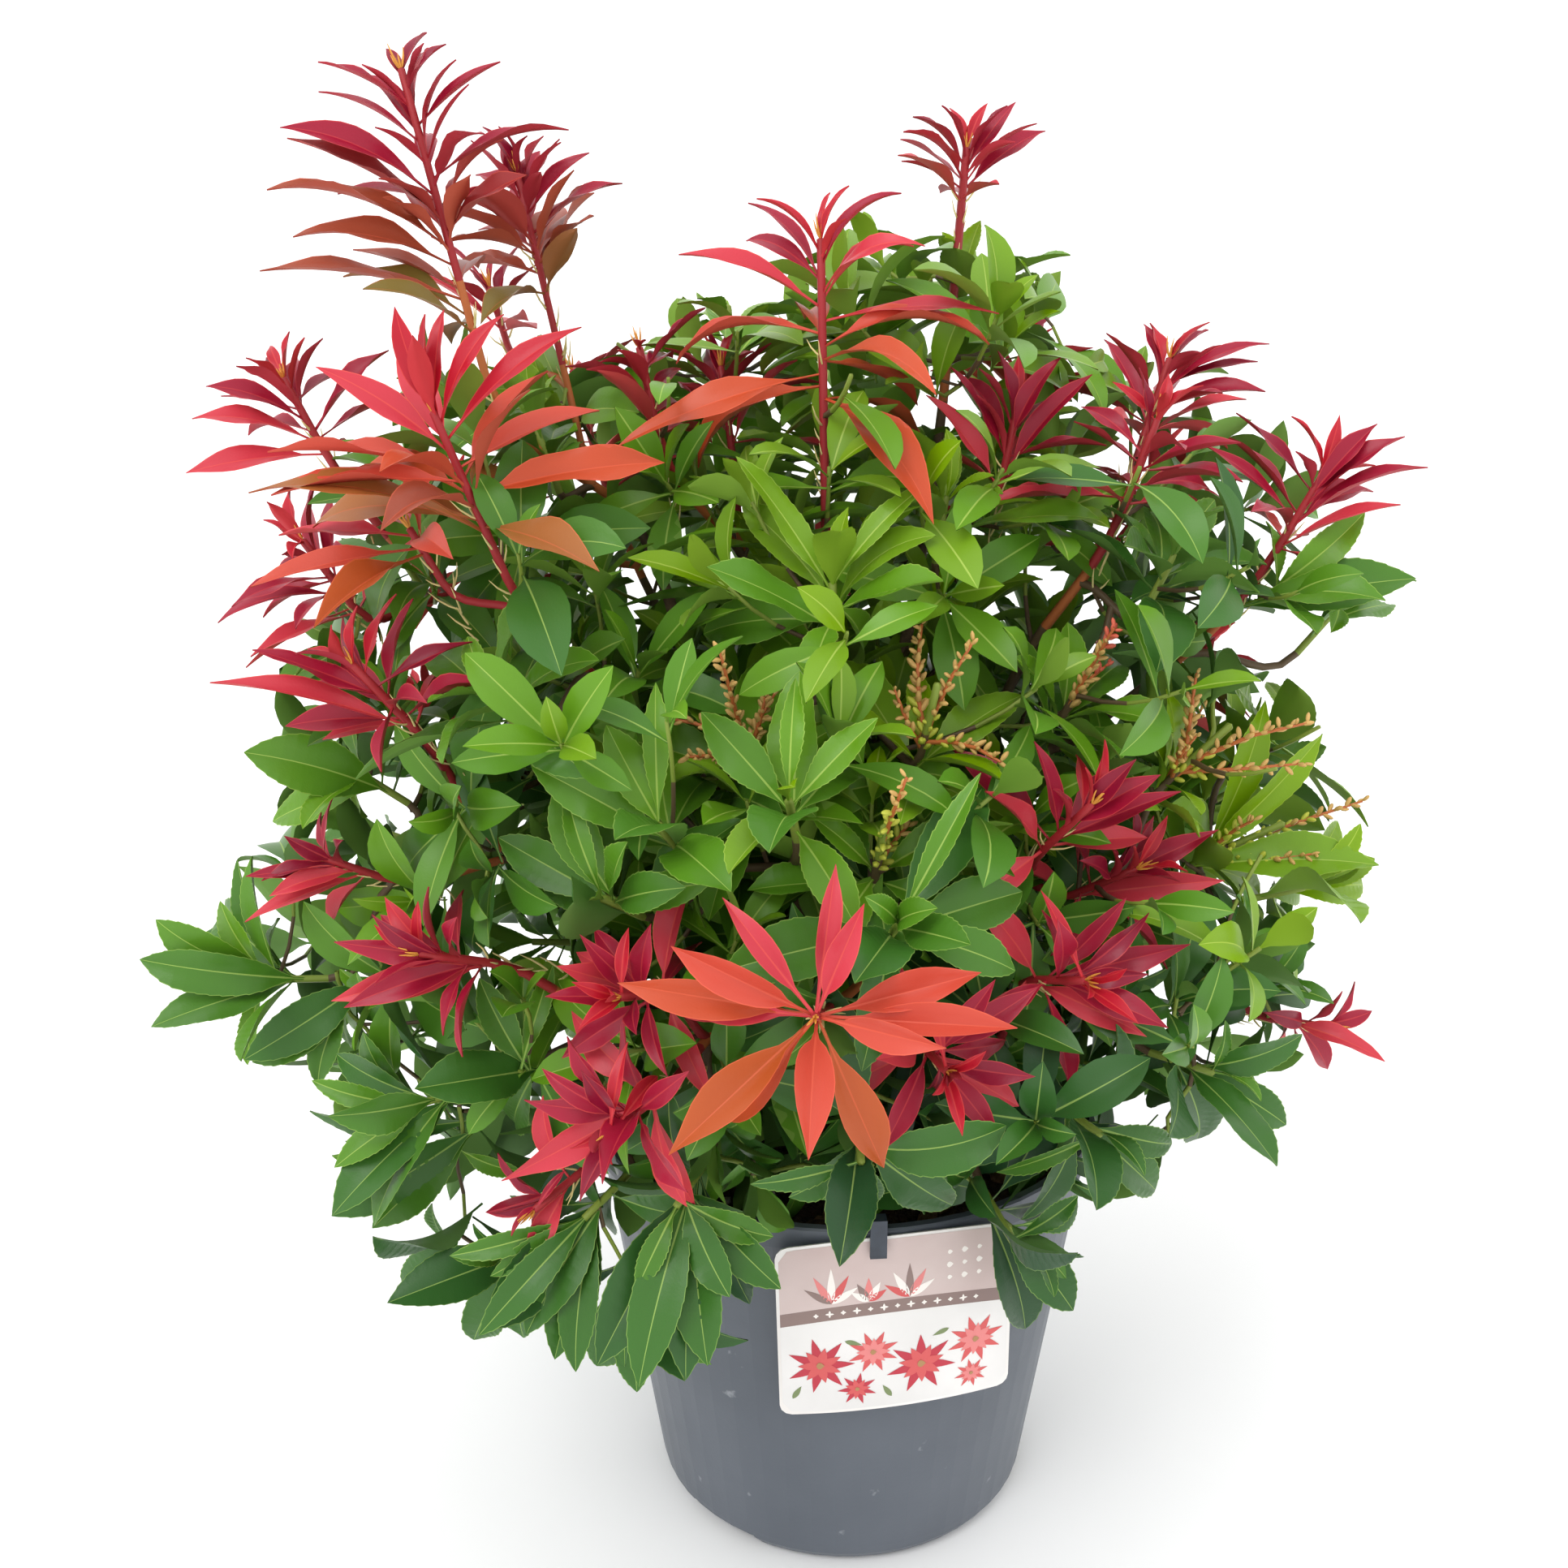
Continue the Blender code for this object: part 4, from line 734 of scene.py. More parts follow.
class Limb(NamedTuple):
    """A trunk, bough or twig: the points of its middle line and the radius at each."""

    path: list
    radii: list
    sides: int
    start_way: Vector
    ends: tuple = ()  # start, start_way, end, end_way of its curve, for drawing it smoothly

    def solid(self, margin=0.0):
        return tube(self.path, [radius + margin for radius in self.radii], self.sides, self.start_way)

    def at(self, share):
        """Point, direction and radius at a share of its length."""
        place = share * (len(self.path) - 1)
        i = min(int(place), len(self.path) - 2)
        f = place - i
        point = self.path[i].lerp(self.path[i + 1], f)
        way = (self.path[i + 1] - self.path[i]).normalized()
        return point, way, self.radii[i] + (self.radii[i + 1] - self.radii[i]) * f


class Space:
    """Solids already placed, each under its owner's name, in cells so that near ones are quickly found."""

    CELL = 0.04

    def __init__(self):
        self.placed = []
        self.cells = {}

    def cells_of(self, low, high):
        spans = [range(int(low[k] // self.CELL), int(high[k] // self.CELL) + 1) for k in range(3)]
        return [(x, y, z) for x in spans[0] for y in spans[1] for z in spans[2]]

    def add(self, owner, points, faces):
        low, high = extent(points)
        for cell in self.cells_of(low, high):
            self.cells.setdefault(cell, []).append(len(self.placed))
        self.placed.append((owner, low, high, BVHTree.FromPolygons(points, faces)))

    def clear(self, points, faces, owners):
        """True where these faces cross no solid but those of the given owners."""
        low, high = extent(points)
        near = {i for cell in self.cells_of(low, high) for i in self.cells.get(cell, ())}
        tree = None
        for i in near:
            owner, other_low, other_high, other = self.placed[i]
            apart = any(low[k] > other_high[k] or high[k] < other_low[k] for k in range(3))
            if apart or owner in owners:
                continue
            tree = tree or BVHTree.FromPolygons(points, faces)
            if tree.overlap(other):
                return False
        return True


def extent(points):
    """The lowest and highest corners round some points."""
    low = [min(p[k] for p in points) for k in range(3)]
    return low, [max(p[k] for p in points) for k in range(3)]


def random_turn(most, chance):
    return Vector([chance.uniform(-most, most) for _ in range(3)])


def at_share(items, share):
    """The item that stands at a share of the way through a list."""
    return items[min(len(items) - 1, int(share * len(items)))]


def carried_over_space():
    """A space that holds the CAD solids that show as they are."""
    space = Space()
    for name in ("pot", "compost", "label", "label_clip"):
        space.add(name, *node_faces(name))
    return space


def node_faces(name):
    mesh = NODES[name].data
    return [v.co.copy() for v in mesh.vertices], [tuple(f.vertices) for f in mesh.polygons]


def tapering(first, last, count):
    return [first + (last - first) * i / (count - 1) for i in range(count)]


def trunk_limb():
    foot = Vector((0, 0, COMPOST_LEVEL + GAP))
    path = [foot.lerp(TRUNK_TOP, share) for share, _ in TRUNK_RADII]
    return Limb(path, [radius for _, radius in TRUNK_RADII], TRUNK_SIDES, UP)


def shoot_way(tip):
    """The direction in which a shoot at this place grows: away from the crown's heart, and up."""
    outward = (tip - CROWN_HEART).normalized()
    rise = max(SHOOT_LEAST_RISE, SHOOT_RISE * (tip.z - SHOOT_RISE_FROM))
    return (outward + UP * rise).normalized()


def shoot_foot(kind, tip):
    return tip - shoot_way(tip) * (ZONES[kind] + SHOOT_BARE)


def bough_limb(name, carrier_name, shoots, limbs, space, rank, chance):
    """A bough from its carrier to the inner side of its mass, on the first bend that clears the others."""
    tips = [Vector(shoot[1:]) for shoot in shoots]
    middle = sum(tips, Vector()) / len(tips)
    end = CROWN_HEART.lerp(middle, BOUGH_REACH)
    end_way = (middle - end).normalized() + UP * BOUGH_END_RISE
    carrier = limbs[carrier_name]
    main = carrier_name == "trunk"
    thick = MAIN_BOUGH_RADIUS if main else SIDE_BOUGH_RADIUS
    low, high = TRUNK_FORKS if main else BOUGH_FORKS
    for attempt in range(LIMB_TRIES):
        if rank == 0:
            way = carrier.at(1.0)[1]
            start = TRUNK_TOP + way * GAP
        else:
            point, carrier_way, radius = carrier.at(chance.uniform(low, high))
            outward = end - point
            outward = (outward - carrier_way * outward.dot(carrier_way)).normalized()
            start = point + outward * radius * LIMB_START
            bend = random_turn(BOUGH_BEND, chance) * (attempt > 0)
            way = outward + carrier_way * BOUGH_FOLLOW + bend
        path = curve_points(start, way, end, end_way, LIMB_STEPS)
        radii = tapering(thick, BOUGH_TIP_RADIUS, LIMB_STEPS + 1)
        limb = Limb(path, radii, LIMB_SIDES, way.normalized(), (start, way, end, end_way))
        if space.clear(*limb.solid(CLEARANCE), (carrier_name,)):
            space.add(name, *limb.solid())
            return limb
    raise RuntimeError(f"no clear way for the bough of {name}")


class Shoot(NamedTuple):
    """A twig and the whorl at its tip."""

    kind: str
    tip: Vector
    twig: Limb
    blades: list  # of the leaves that stand there already, as search trees
    seen: tuple = ()  # pixels of the photo where its leaves end
    place: tuple = ()  # a leading shoot's mass, and its number there


class Spray:
    """One mass's leading twigs."""

    def __init__(self, mass, bough, space):
        self.name, _, self.table = mass
        self.space = space
        self.shoots = []
        kind, *corner = self.table[0]
        tip = Vector(corner)
        end, way, radius = bough.at(1.0)
        start = end + way * GAP
        ends = (start, way, shoot_foot(kind, tip), shoot_way(tip))
        path = curve_points(*ends, TWIG_STEPS + 1) + [tip]
        radii = tapering(radius * STEM_TAPER, SHOOT_RADIUS, len(path))
        self.add(kind, tip, Limb(path, radii, TWIG_SIDES, way, ends), (self.name, 0))

    def add(self, kind, tip, twig, place):
        self.shoots.append(Shoot(kind, tip, twig, [], SEEN_TIPS.get(place, ()), place))
        self.space.add(self.name, *twig.solid())

    def grow_twig(self, kind, tip, chance, place=()):
        """A twig to a shoot's tip, from the nearest fitting place on the mass's twigs, if one is clear."""
        foot, way = shoot_foot(kind, tip), shoot_way(tip)
        places = []
        for parent in (shoot.twig for shoot in self.shoots):
            for share in TWIG_PLACES:
                point, parent_way, radius = parent.at(share)
                ahead = parent_way.dot((foot - point).normalized())
                cost = (foot - point).length * (1 + TURN_COST * (1 - ahead))
                places.append((cost, point, parent_way, radius))
        places.sort(key=lambda place: place[0])
        for attempt in range(TWIG_TRIES):
            _, point, parent_way, radius = places[min(attempt // TRIES_AT_PLACE, len(places) - 1)]
            bend = random_turn(TWIG_BEND, chance) * (attempt % TRIES_AT_PLACE > 0)
            start_way = (foot - point).normalized() + parent_way * TWIG_FOLLOW + bend
            ends = (point, start_way, foot, way + bend * TWIG_FOLLOW)
            path = curve_points(*ends, TWIG_STEPS) + [tip]
            radii = tapering(min(TWIG_RADIUS, radius * TWIG_TAPER), SHOOT_RADIUS, len(path))
            twig = Limb(path, radii, TWIG_SIDES, start_way.normalized(), ends)
            above = min(point.z for point in path) > TWIG_LOWEST
            if above and self.space.clear(*twig.solid(CLEARANCE), (self.name,)):
                self.add(kind, tip, twig, place)
                return


def fill_places(taken, chance):
    """Evenly spread tips for green whorls over the crown, wherever no other shoot is near."""
    found = []
    for _ in range(FILL_TRIES):
        height, turn = chance.uniform(-1, 1), chance.uniform(0, math.tau)
        flat = math.sqrt(1 - height * height)
        depth = chance.uniform(FILL_SHELL, 1.0)
        unit = Vector((flat * math.cos(turn), flat * math.sin(turn), height)) * depth
        tip = FILL_MIDDLE + Vector([unit[k] * FILL_RADII[k] for k in range(3)])
        if tip.z < FILL_LOWEST:
            continue
        if all((tip - other).length > FILL_SPACING for other in taken + found):
            found.append(tip)
    return found


def grow_skeleton(space):
    """The source's limbs and leading twigs, with its random draws in its order."""
    chance = random.Random(SEED)
    limbs = {"trunk": trunk_limb()}
    space.add("trunk", *limbs["trunk"].solid())
    for rank, (name, carrier, shoots) in enumerate(MASSES):
        limbs[name] = bough_limb(name, carrier, shoots, limbs, space, rank, chance)
    sprays = [Spray(mass, limbs[mass[0]], space) for mass in MASSES]
    for spray in sprays:
        for number, (kind, *tip) in enumerate(spray.table[1:], 1):
            spray.grow_twig(kind, Vector(tip), chance, (spray.name, number))
    owners = [(shoot.tip, spray) for spray in sprays for shoot in spray.shoots]
    for tip in fill_places([tip for tip, _ in owners], chance):
        nearest = min(owners, key=lambda pair: (pair[0] - tip).length)[1]
        nearest.grow_twig("green", tip, chance)
    return limbs, [shoot for spray in sprays for shoot in spray.shoots]


# ------------------------------------------------------- finer twigs


def crown_depth(point):
    """0 in the crown's middle and 1 at its outer skin."""
    away = point - FILL_MIDDLE
    return sum(abs(away[k] / CROWN_RADII[k]) ** CROWN_SQUARENESS for k in range(3)) ** (1 / CROWN_SQUARENESS)


def turned_out(way, angle, around):
    """A direction at an angle from way, on the side given by a turn round it; and the upper side's normal."""
    across = way.orthogonal().normalized()
    out = across * math.cos(around) + way.cross(across) * math.sin(around)
    along = way * math.cos(angle) + out * math.sin(angle)
    face = way * math.sin(angle) - out * math.cos(angle)
    return along.normalized(), face.normalized()


def random_angle(degrees, chance):
    """An angle in radians between two in degrees."""
    return math.radians(chance.uniform(*degrees))


def side_shoot(point, along, tip, end_way, radius, seen=()):
    """A finer twig from a point of its carrier to the tip of its whorl."""
    ends = (point, along, tip, end_way)
    path = curve_points(*ends, TWIG_STEPS)
    radii = tapering(min(SIDE_RADIUS, radius * TWIG_TAPER), SIDE_TIP_RADIUS, len(path))
    return Shoot("side", tip, Limb(path, radii, TWIG_SIDES, along, ends), [], seen)


def seen_side_shoots(carriers, taken):
    """Finer twigs to the whorls that the photo shows, each from the nearest place on a carrier."""
    found = []
    for *pixel, back in SEEN_WHORLS:
        ray = pixel_ray(pixel)
        tip = CAMERA_PLACE + ray * (back - CAMERA_PLACE.y) / ray.y
        if any((tip - other).length < WHORL_APART for other in taken):
            continue
        places = [carrier.at(share) for carrier in carriers for share in TWIG_PLACES]
        point, way, radius = min(places, key=lambda place: (place[0] - tip).length)
        along = (tip - point).normalized()
        end_way = along + (tip - CROWN_HEART).normalized() + UP * SEEN_RISE
        start_way = (along + way * SEEN_FOLLOW).normalized()
        shoot = side_shoot(point, start_way, tip, end_way, radius, WHORL_TIPS.get(tuple(pixel), ()))
        taken.append(tip)
        found.append(shoot)
        carriers.append(shoot.twig)
    return found


def grow_side_shoots(limbs, shoots, chance):
    """Finer twigs with small green whorls, forking off boughs and leading twigs wherever there is room."""
    taken = [shoot.tip for shoot in shoots]
    boughs = [limb for name, limb in limbs.items() if name != "trunk"]
    carriers = [shoot.twig for shoot in shoots] + boughs
    found = seen_side_shoots(carriers, taken)
    for _ in range(SIDE_TRIES):
        for carrier in carriers:
            point, way, radius = carrier.at(chance.uniform(*SIDE_SHARES))
            along, _ = turned_out(way, random_angle(SIDE_ANGLES, chance), chance.uniform(0, math.tau))
            outward = (point - CROWN_HEART).normalized()
            end_way = (along + outward * SIDE_OUTWARD + UP * SIDE_RISE).normalized()
            tip = point + (along + end_way).normalized() * chance.uniform(*SIDE_LENGTHS)
            if tip.z < SIDE_LOWEST or crown_depth(tip) > max(1.0, crown_depth(point)):
                continue
            spacing = SKIN_SPACING if crown_depth(tip) > OUTER_DEPTH else SIDE_SPACING
            if any((tip - other).length < spacing for other in taken) or in_sky(tip):
                continue
            taken.append(tip)
            found.append(side_shoot(point, along, tip, end_way, radius))
    return found


# ------------------------------------------------------- the label's card


def label_point(across, down, lift):
    """A point of the card: metres across from its middle and down from its top, lifted off the wall."""
    tilt = math.radians(LABEL_TILT)
    side = across * math.cos(tilt) - down * math.sin(tilt)
    drop = down * math.cos(tilt) + across * math.sin(tilt)
    lean = math.radians(LABEL_LEAN)
    height = LABEL_TOP - drop * math.cos(lean)
    reach = POT_RIM_RADIUS + (height - (POT_HEIGHT - RIM_HEIGHT)) * math.tan(lean)
    outward = Vector((math.cos(math.radians(LABEL_ANGLE)), math.sin(math.radians(LABEL_ANGLE)), 0))
    bend = side / LABEL_BEND
    way = outward * math.cos(bend) + UP.cross(outward) * math.sin(bend)
    return outward * (reach - LABEL_BEND) + way * (LABEL_BEND + lift) + UP * height


# ------------------------------------------------------- leaves


class Leaf(NamedTuple):
    """One leaf: where it is rooted, its direction, the normal of its upper side, and its form."""

    root: Vector
    along: Vector
    face: Vector
    length: float
    width: float
    petiole: float
    bend: float
    fold: float
    twist: float
    wave: float
    phase: float
    tip_power: float


def tooth_rows():
    """Places along a toothed leaf, as shares of its length, and 1 at a tooth's tip, -1 at its foot or 0."""
    step = (TEETH_TO - TEETH_FROM) / TEETH
    places, stand = [*BEFORE_TEETH], [0] * len(BEFORE_TEETH)
    for i in range(TEETH):
        places += [TEETH_FROM + step * i, TEETH_FROM + step * (i + TOOTH_SLOPE)]
        stand += [-1, 1]
    return np.array(places + [TEETH_TO, *AFTER_TEETH]), np.array(stand + [-1] + [0] * len(AFTER_TEETH))


def smooth_rows(rows):
    """The same for a leaf without teeth, whose blade still rises and falls between its side veins."""
    stand = np.where(np.arange(rows + 1) % 2 == 0, -0.5, 0.5)
    return np.linspace(0, 1, rows + 1), stand


TOOTHED, SMOOTH, PLAIN, COARSE = tooth_rows(), smooth_rows(12), smooth_rows(11), smooth_rows(7)
OUTLINE = smooth_rows(10)
ROOT_ROW, BLADE_ROW = 2, 4  # rows of the outline from which a leaf may cross no other, and none of its whorl


def leaf_frames(leaf, u):
    """For each row, at a share u of the leaf's length: middle, sideways direction, normal and half width."""
    angle = leaf.bend * (RISE_AT_ROOT - u**BEND_POWER)
    middle, step = (angle[1:] + angle[:-1]) / 2, np.diff(u) * leaf.length
    x = np.concatenate([[0], np.cumsum(np.cos(middle) * step)])
    z = np.concatenate([[0], np.cumsum(np.sin(middle) * step)])
    along, face = np.array(leaf.along), np.array(leaf.face)
    side = np.cross(face, along)
    centre = np.array(leaf.root) + x[:, None] * along + z[:, None] * face
    normal = -np.sin(angle)[:, None] * along + np.cos(angle)[:, None] * face
    turn = (leaf.twist * u)[:, None]
    across = np.cos(turn) * side + np.sin(turn) * normal
    normal = np.cos(turn) * normal - np.sin(turn) * side
    blade = np.clip((u - leaf.petiole) / (1 - leaf.petiole), 0, 1)
    a, b = BASE_POWER, leaf.tip_power
    widest = (a / (a + b)) ** a * (b / (a + b)) ** b
    half = leaf.width / 2 * blade**a * (1 - blade) ** b / widest
    least = PETIOLE_HALF * np.clip((1 - u) * TIP_TAPER, TIP_LEAST, 1)
    return centre, across, normal, np.maximum(half, least)


def sheet(frames, y, z):
    """The points of one side of a leaf, y across from its middle line and z above it, row by row."""
    centre, across, normal, _ = frames
    points = centre[:, None] + across[:, None] * y[..., None] + normal[:, None] * z[..., None]
    return points.reshape(-1, 3)


def two_sheets(upper, lower, strips, shift):
    """A closed leaf from the points of its sides: points, quads and what each quad is.

    shift is how many corners on the lower side's quads start. With 1, both sides are split along the same
    diagonals.
    """
    columns = len(strips) + 1
    rows = len(upper) // columns
    under = grid_quads(rows, len(lower) // rows, len(upper))
    quads = [grid_quads(rows, columns), np.roll(under, shift, axis=1)]
    kinds = [np.tile(strips, rows - 1), np.full(len(under), UNDER)]
    return np.concatenate([upper, lower]), np.concatenate(quads), np.concatenate(kinds)


def leaf_mesh(leaf, rows, toothed):
    """A closed, folded, rippled leaf with a midrib, and with margins unless its rows are PLAIN."""
    u, stand = rows
    detailed = rows is not PLAIN
    frames = leaf_frames(leaf, u)
    wide = np.clip(frames[3] / RELIEF_HALF, 0, 1)
    half = frames[3] + stand * wide * TOOTH * toothed
    rib = np.minimum(RIB_HALF * (RIB_TAPER - u), RIB_SHARE * half)
    edge = half - np.minimum(MARGIN, MARGIN_SHARE * half)
    mid, middle = 0.5 * half, 0 * half
    quilt = QUILT * stand * wide * detailed

    def height(y):
        """How far the blade rises y from its middle line, and that place as a share of its half width."""
        share = np.abs(y) / half[:, None]
        ripple = np.sin(math.tau * WAVES * u[:, None] + leaf.phase + np.sign(y) * WAVE_LAG)
        curl = leaf.wave * ripple * detailed - MARGIN_CURL
        return leaf.fold * np.abs(y) + half[:, None] * np.interp(share, HALVES, CURL_AT) * curl, share

    if detailed:
        over, under = (-half, -edge, -mid, -rib, rib, mid, edge, half), (half, mid, middle, -mid, -half)
        strips = (EDGE, UPPER, UPPER, RIB, UPPER, UPPER, EDGE)
    else:
        over, under = (-half, -mid, -rib, rib, mid, half), (half, middle, -half)
        strips = (UPPER, UPPER, RIB, UPPER, UPPER)
    over, under = np.stack(over, axis=1), np.stack(under, axis=1)
    z, share = height(over)
    z = z + quilt[:, None] * np.interp(share, HALVES, QUILT_AT) - np.where(share < GROOVE_HALF, GROOVE, 0.0)
    under_z, share = height(under)
    under_z = under_z - BLADE_THICKNESS * (1 - share**2)
    return two_sheets(sheet(frames, over, z), sheet(frames, under, under_z), strips, 1)


def coarse_leaf_mesh(leaf):
    """The same leaf with fewer faces, for the crown's inside."""
    frames = leaf_frames(leaf, COARSE[0])
    half = frames[3]
    rib = np.minimum(RIB_HALF, COARSE_RIB_SHARE * half)
    over = np.stack([-half, -rib, rib, half], axis=1)
    under = np.stack([half, 0 * half, -half], axis=1)
    under_z = leaf.fold * np.abs(under) - BLADE_THICKNESS * (1 - np.abs(under) / half[:, None])
    upper = sheet(frames, over, leaf.fold * np.abs(over))
    return two_sheets(upper, sheet(frames, under, under_z), (UPPER, RIB, UPPER), 0)


def leaf_outline(leaf, first):
    """A leaf from row first on as a few triangles, for telling whether it crosses another."""
    centre, across, normal, half = leaf_frames(leaf, OUTLINE[0])
    points, faces = [], []
    for i in range(first, len(half), 2):
        rise = normal[i] * leaf.fold * half[i]
        points += [centre[i] - across[i] * half[i] + rise, centre[i], centre[i] + across[i] * half[i] + rise]
    for a in range(0, len(points) - 3, 3):
        faces += [(a, a + 1, a + 4), (a, a + 4, a + 3), (a + 1, a + 2, a + 5), (a + 1, a + 5, a + 4)]
    return [Vector(p) for p in points], faces


def blade_tree(leaf):
    """A leaf's blade, for telling whether it crosses another of the same whorl."""
    return BVHTree.FromPolygons(*leaf_outline(leaf, BLADE_ROW))


def pixel_ray(pixel):
    """The direction from the camera through a pixel of the photo."""
    middle = PICTURE_SIDE / 2
    return (CAMERA_TURN @ Vector(((pixel[0] - middle), (middle - pixel[1]), -FOCAL_PIXELS))).normalized()


def photo_pixel(point):
    """Where a point shows in the photo."""
    seen = CAMERA_TURN.transposed() @ (point - CAMERA_PLACE)
    middle = PICTURE_SIDE / 2
    return middle - FOCAL_PIXELS * seen.x / seen.z, middle + FOCAL_PIXELS * seen.y / seen.z


def within(pixel, outline):
    """True for a pixel of the photo inside an outline of its pixels."""
    x, y = pixel
    starts, ends = np.array(outline), np.roll(np.array(outline), -1, axis=0)
    crossed = (starts[:, 1] > y) != (ends[:, 1] > y)
    starts, ends = starts[crossed], ends[crossed]
    at = starts[:, 0] + (y - starts[:, 1]) * (ends[:, 0] - starts[:, 0]) / (ends[:, 1] - starts[:, 1])
    return np.count_nonzero(at > x) % 2 == 1


def in_sky(point):
    """True where the photo shows the sky in a point's place."""
    return not within(photo_pixel(point), SKYLINE)


def seen_clear(point):
    """True where the photo shows leaves in a point's place, and neither the sky nor the label."""
    pixel = photo_pixel(point)
    return within(pixel, SKYLINE) and not within(pixel, LABEL_SEEN)


def seen_place(root, pixel, length, nearer):
    """Where a leaf of this length has its tip, seen at a pixel: nearer the camera, or further if -1."""
    ray = pixel_ray(pixel)
    middle = CAMERA_PLACE + ray * ray.dot(root - CAMERA_PLACE)
    spare = length**2 - (middle - root).length_squared
    return middle - ray * nearer * math.sqrt(max(0.0, spare))


def leaf_to(tip, root, way, toward, form):
    """A leaf from its root to a tip, its upper side turned the way that its stem grows and to the camera."""
    along = (tip - root).normalized()
    face = way + (CAMERA_PLACE - root).normalized() * toward
    face = face - along * face.dot(along)
    if face.length < LEAST_FACE:
        face = face + along.orthogonal() * LEAST_FACE
    return Leaf(root, along, face.normalized(), (tip - root).length, *form)


def leaf_form(look, length, chance):
    """Width and the rest of a leaf's form, a little different each time."""
    colour = "red" if look.tones else "green"
    width = length * look.width * chance.uniform(*WIDTH_SPREAD)
    bend = look.bend * chance.uniform(*BEND_SPREAD)
    fold = look.fold * chance.uniform(*FOLD_SPREAD)
    twist = chance.uniform(-TWIST, TWIST)
    wave, phase = chance.uniform(LEAST_WAVE, MOST_WAVE[colour]), chance.uniform(0, math.tau)
    return width, look.petiole, bend, fold, twist, wave, phase, TIP_POWERS[colour]


def leaf_roots(look, tip, way, count, length_spread, chance):
    """For each leaf of a whorl from the lowest up: its number, height's share, root and length."""
    for i in range(count):
        share = i / max(1, count - 1)
        root = tip - way * (look.zone * (1 - share) + LEAF_BELOW_TIP)
        length = look.long + (look.short - look.long) * share**LENGTH_POWER
        yield i, share, root, length * chance.uniform(*length_spread)


def whorl_leaves(look, tip, way, count, chance):
    """The leaves of one whorl from the lowest up, each as its height's share and a list of tries."""
    start = chance.uniform(0, math.tau)
    for i, share, root, length in leaf_roots(look, tip, way, count, LENGTH_SPREAD, chance):
        spread = look.low_spread + (look.high_spread - look.low_spread) * share**SPREAD_POWER
        spread += chance.uniform(-ANGLE_SPREAD, ANGLE_SPREAD)
        width, *form = leaf_form(look, length, chance)
        tries = []
        for shrink, turn, lift in LEAF_TRIES:
            around = start + i * GOLDEN_ANGLE + math.radians(turn)
            along, face = turned_out(way, math.radians(max(LEAST_ANGLE, spread + lift)), around)
            tries.append(Leaf(root, along, face, length * shrink, width * shrink, *form))
        yield share, tries


def seen_leaves(look, tip, way, pixels, chance):
    """The leaves of one whorl that the photo shows, as whorl_leaves gives the others."""
    toward = TOWARD_CAMERA["red" if look.tones else "green"]
    for i, share, root, length in leaf_roots(look, tip, way, len(pixels), SEEN_LENGTH_SPREAD, chance):
        form = leaf_form(look, length, chance)
        tries = []
        for shrink, nearer in SEEN_TRIES:
            end = seen_place(root, pixels[i], length * shrink, -nearer if i % 2 else nearer)
            if (end - root).length < SEEN_REACH:
                tries.append(leaf_to(end, root, way, toward, form))
        yield share, tries


def green_light(tip, chance):
    """How much painted light a green whorl gets, from 0, deep in the crown, to 1: more up the crown, painted
    shade at its skin, paler or darker near the LIT_PLACES, and a random spread.
    """
    light = LIGHT_AT_FOOT + LIGHT_GAIN * (tip.z - CROWN_FOOT) / CROWN_HEIGHT
    light -= SKIN_SHADE * (crown_depth(tip) - SHADE_FROM)
    x, y = photo_pixel(tip)
    for (left, top), reach, more in LIT_PLACES if tip.y < LIT_DEPTH else ():
        light += more * math.exp(-((x - left) ** 2 + (y - top) ** 2) / reach**2)
    return light + chance.uniform(-LIGHT_SPREAD, LIGHT_SPREAD)


def green_tones(tip, chance):
    """Tones of a green whorl from its lowest leaves to its topmost, paler or darker by its painted light:
    lime on the crown's right tip.
    """
    low, high = LIME_HEIGHTS
    if tip.x > LIME_FROM_X and tip.y < LIME_TO_Y and low < tip.z < high:
        return LIME_TONES
    place = DARKEST_TONE - TONE_SPAN * min(1, max(0, green_light(tip, chance)))
    last = len(GREEN_TONES) - 1
    return tuple(GREEN_TONES[min(last, max(0, round(place + step)))] for step in TONE_STEPS)


# ------------------------------------------------------- materials


def linear(colour):
    """An sRGB colour, 0 to 255, as the shader takes it."""
    return tuple(c / 255 / 12.92 if c < 11 else ((c / 255 + 0.055) / 1.055) ** 2.4 for c in colour)


def mixed(one, other, share):
    return tuple(a + (b - a) * share for a, b in zip(one, other))


def set_inputs(made, node, **inputs):
    """Sets a node's inputs, each to a value or to another node's output."""
    for name, value in inputs.items():
        socket = node.inputs[name.replace("_", " ")]
        if isinstance(value, bpy.types.NodeSocket):
            made.node_tree.links.new(value, socket)
        else:
            socket.default_value = value


def add_node(made, kind, **inputs):
    """A new node of a material, with its inputs set."""
    node = made.node_tree.nodes.new(kind)
    set_inputs(made, node, **inputs)
    return node


def shader_of(made):
    return made.node_tree.nodes["Principled BSDF"]


def noise_of(made, scale, detail):
    """Noise through the object's own space, scale in features a metre."""
    place = add_node(made, "ShaderNodeTexCoord").outputs["Object"]
    return add_node(made, "ShaderNodeTexNoise", Vector=place, Scale=scale, Detail=detail).outputs["Fac"]


def plain(name, colour, roughness, specular=0.5):
    """A material of one base colour, given in sRGB."""
    made = bpy.data.materials.new(name)
    made.use_nodes = True
    set_inputs(made, shader_of(made), Base_Color=(*linear(colour), 1), Roughness=roughness,
               Specular_IOR_Level=specular)
    return made


def grained(made, scale, depth, strength=0.5):
    """Gives a material a fine relief of its own: scale in grains a metre, depth in metres."""
    height = noise_of(made, scale, 3)
    bump = add_node(made, "ShaderNodeBump", Strength=strength, Distance=depth, Height=height)
    set_inputs(made, shader_of(made), Normal=bump.outputs["Normal"])
    return made


